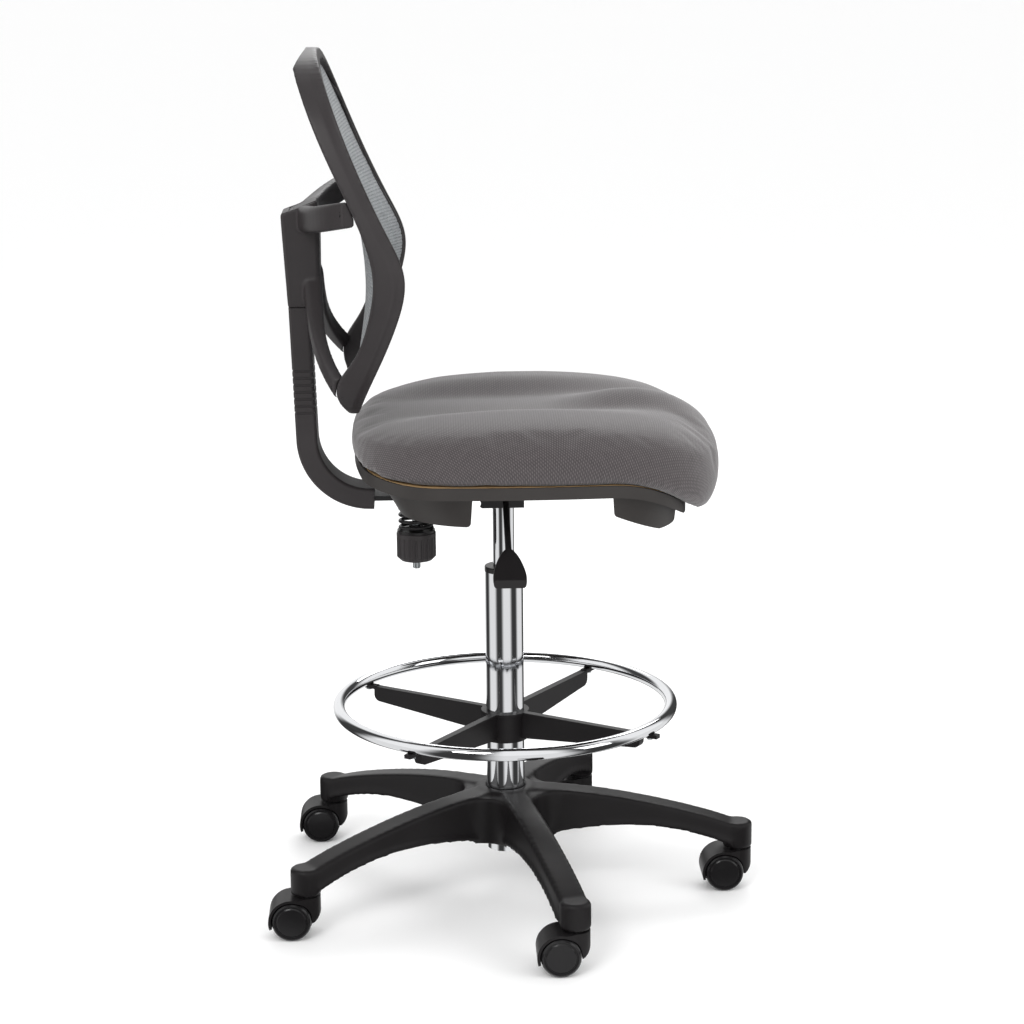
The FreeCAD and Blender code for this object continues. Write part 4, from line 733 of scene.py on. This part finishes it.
def generated(name, tree, sizes):
    """A plain mesh object made by a geometry tree with the named sizes."""
    made = mesh_object(name, [(0, 0, 0)], [])
    modifier = made.modifiers.new("made", "NODES")
    modifier.node_group = tree
    for socket in tree.interface.items_tree:
        if socket.item_type == "SOCKET" and socket.in_out == "INPUT" and socket.name in sizes:
            modifier[socket.identifier] = sizes[socket.name]
    return applied(made)


def inside_outline(node, y, z, margin_mm):
    """Which points of the YZ plane lie inside a CAD node, seen from the front.

    The outline grows by the margin, because each point is tested a little further in.
    """
    source = frame["nodes"][node]
    corners = [Vector(point) for point in points_of(source)]
    tree = BVHTree.FromPolygons(corners, [face.vertices[:] for face in source.data.polygons])
    rise = z - BACK_CENTRE_MM
    shrink = 1 - margin_mm / np.maximum(np.hypot(y, rise), margin_mm)
    rearward = Vector((-1, 0, 0))
    return np.array([
        tree.ray_cast(Vector((1, across * MM, up * MM)), rearward)[0] is not None
        for across, up in zip(y * shrink, BACK_CENTRE_MM + rise * shrink)])


def back_mesh():
    """Knitted mesh in three bands, pierced cell by cell and hollow between the rails."""
    width_mm, pitch_mm, overlap_mm, margin_mm, wall_mm = 420, 3.9, 4.5, 3.0, 0.9
    tree = perforated_tree()
    for band, (low, high, opening) in BANDS.items():
        sheet = generated(f"mesh_{band}", tree, {
            "Width": width_mm * MM, "Height": (high - low + overlap_mm) * MM,
            "Pitch": pitch_mm * MM, "Row pitch": pitch_mm * MM, "Opening": opening})
        flat = points_of(sheet) / MM
        y, z = flat[:, 0], flat[:, 1] + (low + high) / 2
        kept = inside_outline("back_mesh", y, z, margin_mm)
        x = mesh_depth(y, z)
        set_points(sheet, np.column_stack([x, y, z]) * MM)
        drop_points(sheet, ~kept)
        store_cloth(sheet, np.column_stack([y, z, 0 * z])[kept] * MM)
        wall = sheet.modifiers.new("wall", "SOLIDIFY")
        wall.thickness = wall_mm * MM
        wall.offset = -1.0
        applied(sheet)
        sheet.data.shade_smooth()
        finish(sheet, "mesh_fabric")
        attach(sheet, "backrest")
    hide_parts("back_mesh")


def drop_points(obj, dropped):
    body = bmesh.new()
    body.from_mesh(obj.data)
    body.verts.ensure_lookup_table()
    bmesh.ops.delete(body, geom=[v for v in body.verts if dropped[v.index]], context="VERTS")
    body.to_mesh(obj.data)
    body.free()


def back_rail():
    """Closed rail of the back with soft edges and a bevelled strip along its front."""
    crown_low, crown_tall, crown_depth, rear_face = 1068, 39, 16, -255
    bevel_depth, bevel_from, bevel_to = 4.0, 9, 14
    rail = cad_copy("back_rail", "back_frame")
    remeshed(rail, 2.2, 2)
    points = points_of(rail)
    normals = vertex_vectors(rail.data, "normal")
    # the rail is rounded off at the top of its rear face
    crown = np.clip((points[:, 2] / MM - crown_low) / crown_tall, 0, 1)
    points[:, 0] = np.maximum(points[:, 0], (rear_face + crown_depth * crown**2) * MM)
    # the front edge of the outer side is bevelled
    behind = rail_front(points[:, 2] / MM) - points[:, 0] / MM
    outward = np.clip((normals[:, 1] * np.sign(points[:, 1]) - 0.2) / 0.5, 0, 1)
    fading = 1 - np.clip(behind, 0, bevel_to) / 20
    inwards = bevel_depth * (1 - smoothstep(bevel_from, bevel_to, behind)) * fading * outward
    sideways = normals.copy()
    sideways[:, 0] = 0
    sideways /= np.maximum(np.linalg.norm(sideways, axis=1, keepdims=True), 1e-6)
    set_points(rail, points - sideways * (inwards * MM)[:, None])
    softened(rail, 2)
    finish(rail, "back_plastic")
    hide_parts("back_frame")
    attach(rail, "backrest")


def mesh_trim():
    """Strip round the mesh, kept just behind the rail's front face."""
    setback_mm = 2.0
    trim = cad_copy("trim_strip", "mesh_trim")
    points = points_of(trim)
    front = (rail_front(points[:, 2] / MM) - setback_mm) * MM
    points[:, 0] = np.minimum(points[:, 0], front)
    set_points(trim, points)
    finish(trim, "back_plastic")
    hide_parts("mesh_trim")
    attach(trim, "backrest")


def back_bracket():
    """Bracket whose limbs flow out of the sliding box."""
    bracket = cad_copy("back_bracket_moulding", "back_bracket")
    remeshed(bracket, 2.0, 6)
    finish(bracket, "back_plastic")
    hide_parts("back_bracket")
    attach(bracket, "backrest")


def coil_spring():
    """Tilt spring as a free coil with flattened ends."""
    turns, low, high, radius, wire, centre_x = 5.5, 490.0, 534.0, 20.7, 2.3, -113.0
    steps = int(turns * 40)
    share = np.linspace(0, 1, steps + 1)
    angle = share * turns * 2 * math.pi
    level = np.interp(share, [0, 0.09, 0.91, 1],
                      [low + wire, low + wire + 1, high - wire - 1, high - wire])
    centres = np.stack([radius * np.cos(angle) + centre_x, radius * np.sin(angle), level], 1)
    outward = np.stack([np.cos(angle), np.sin(angle), 0 * angle], 1)
    around = np.linspace(0, 2 * math.pi, 12, endpoint=False)
    rings = [centres + wire * (math.cos(a) * outward + math.sin(a) * np.array([0, 0, 1.0]))
             for a in around]
    points = np.stack(rings, 1).reshape(-1, 3) * MM
    size = len(around)
    faces = [(row * size + side, row * size + (side + 1) % size,
              (row + 1) * size + (side + 1) % size, (row + 1) * size + side)
             for row in range(steps) for side in range(size)]
    faces += [tuple(reversed(range(size))), tuple(range(steps * size, (steps + 1) * size))]
    coil = mesh_object("coil_spring", points, faces)
    finish(coil, "black_steel")
    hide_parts("tilt_spring")
    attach(coil, "spring_seat")
    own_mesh(coil)


add_camera()
dress_cad_nodes()
add_studio()
five_arm_base()
seat_pad()
back_mesh()
back_rail()
mesh_trim()
back_bracket()
coil_spring()
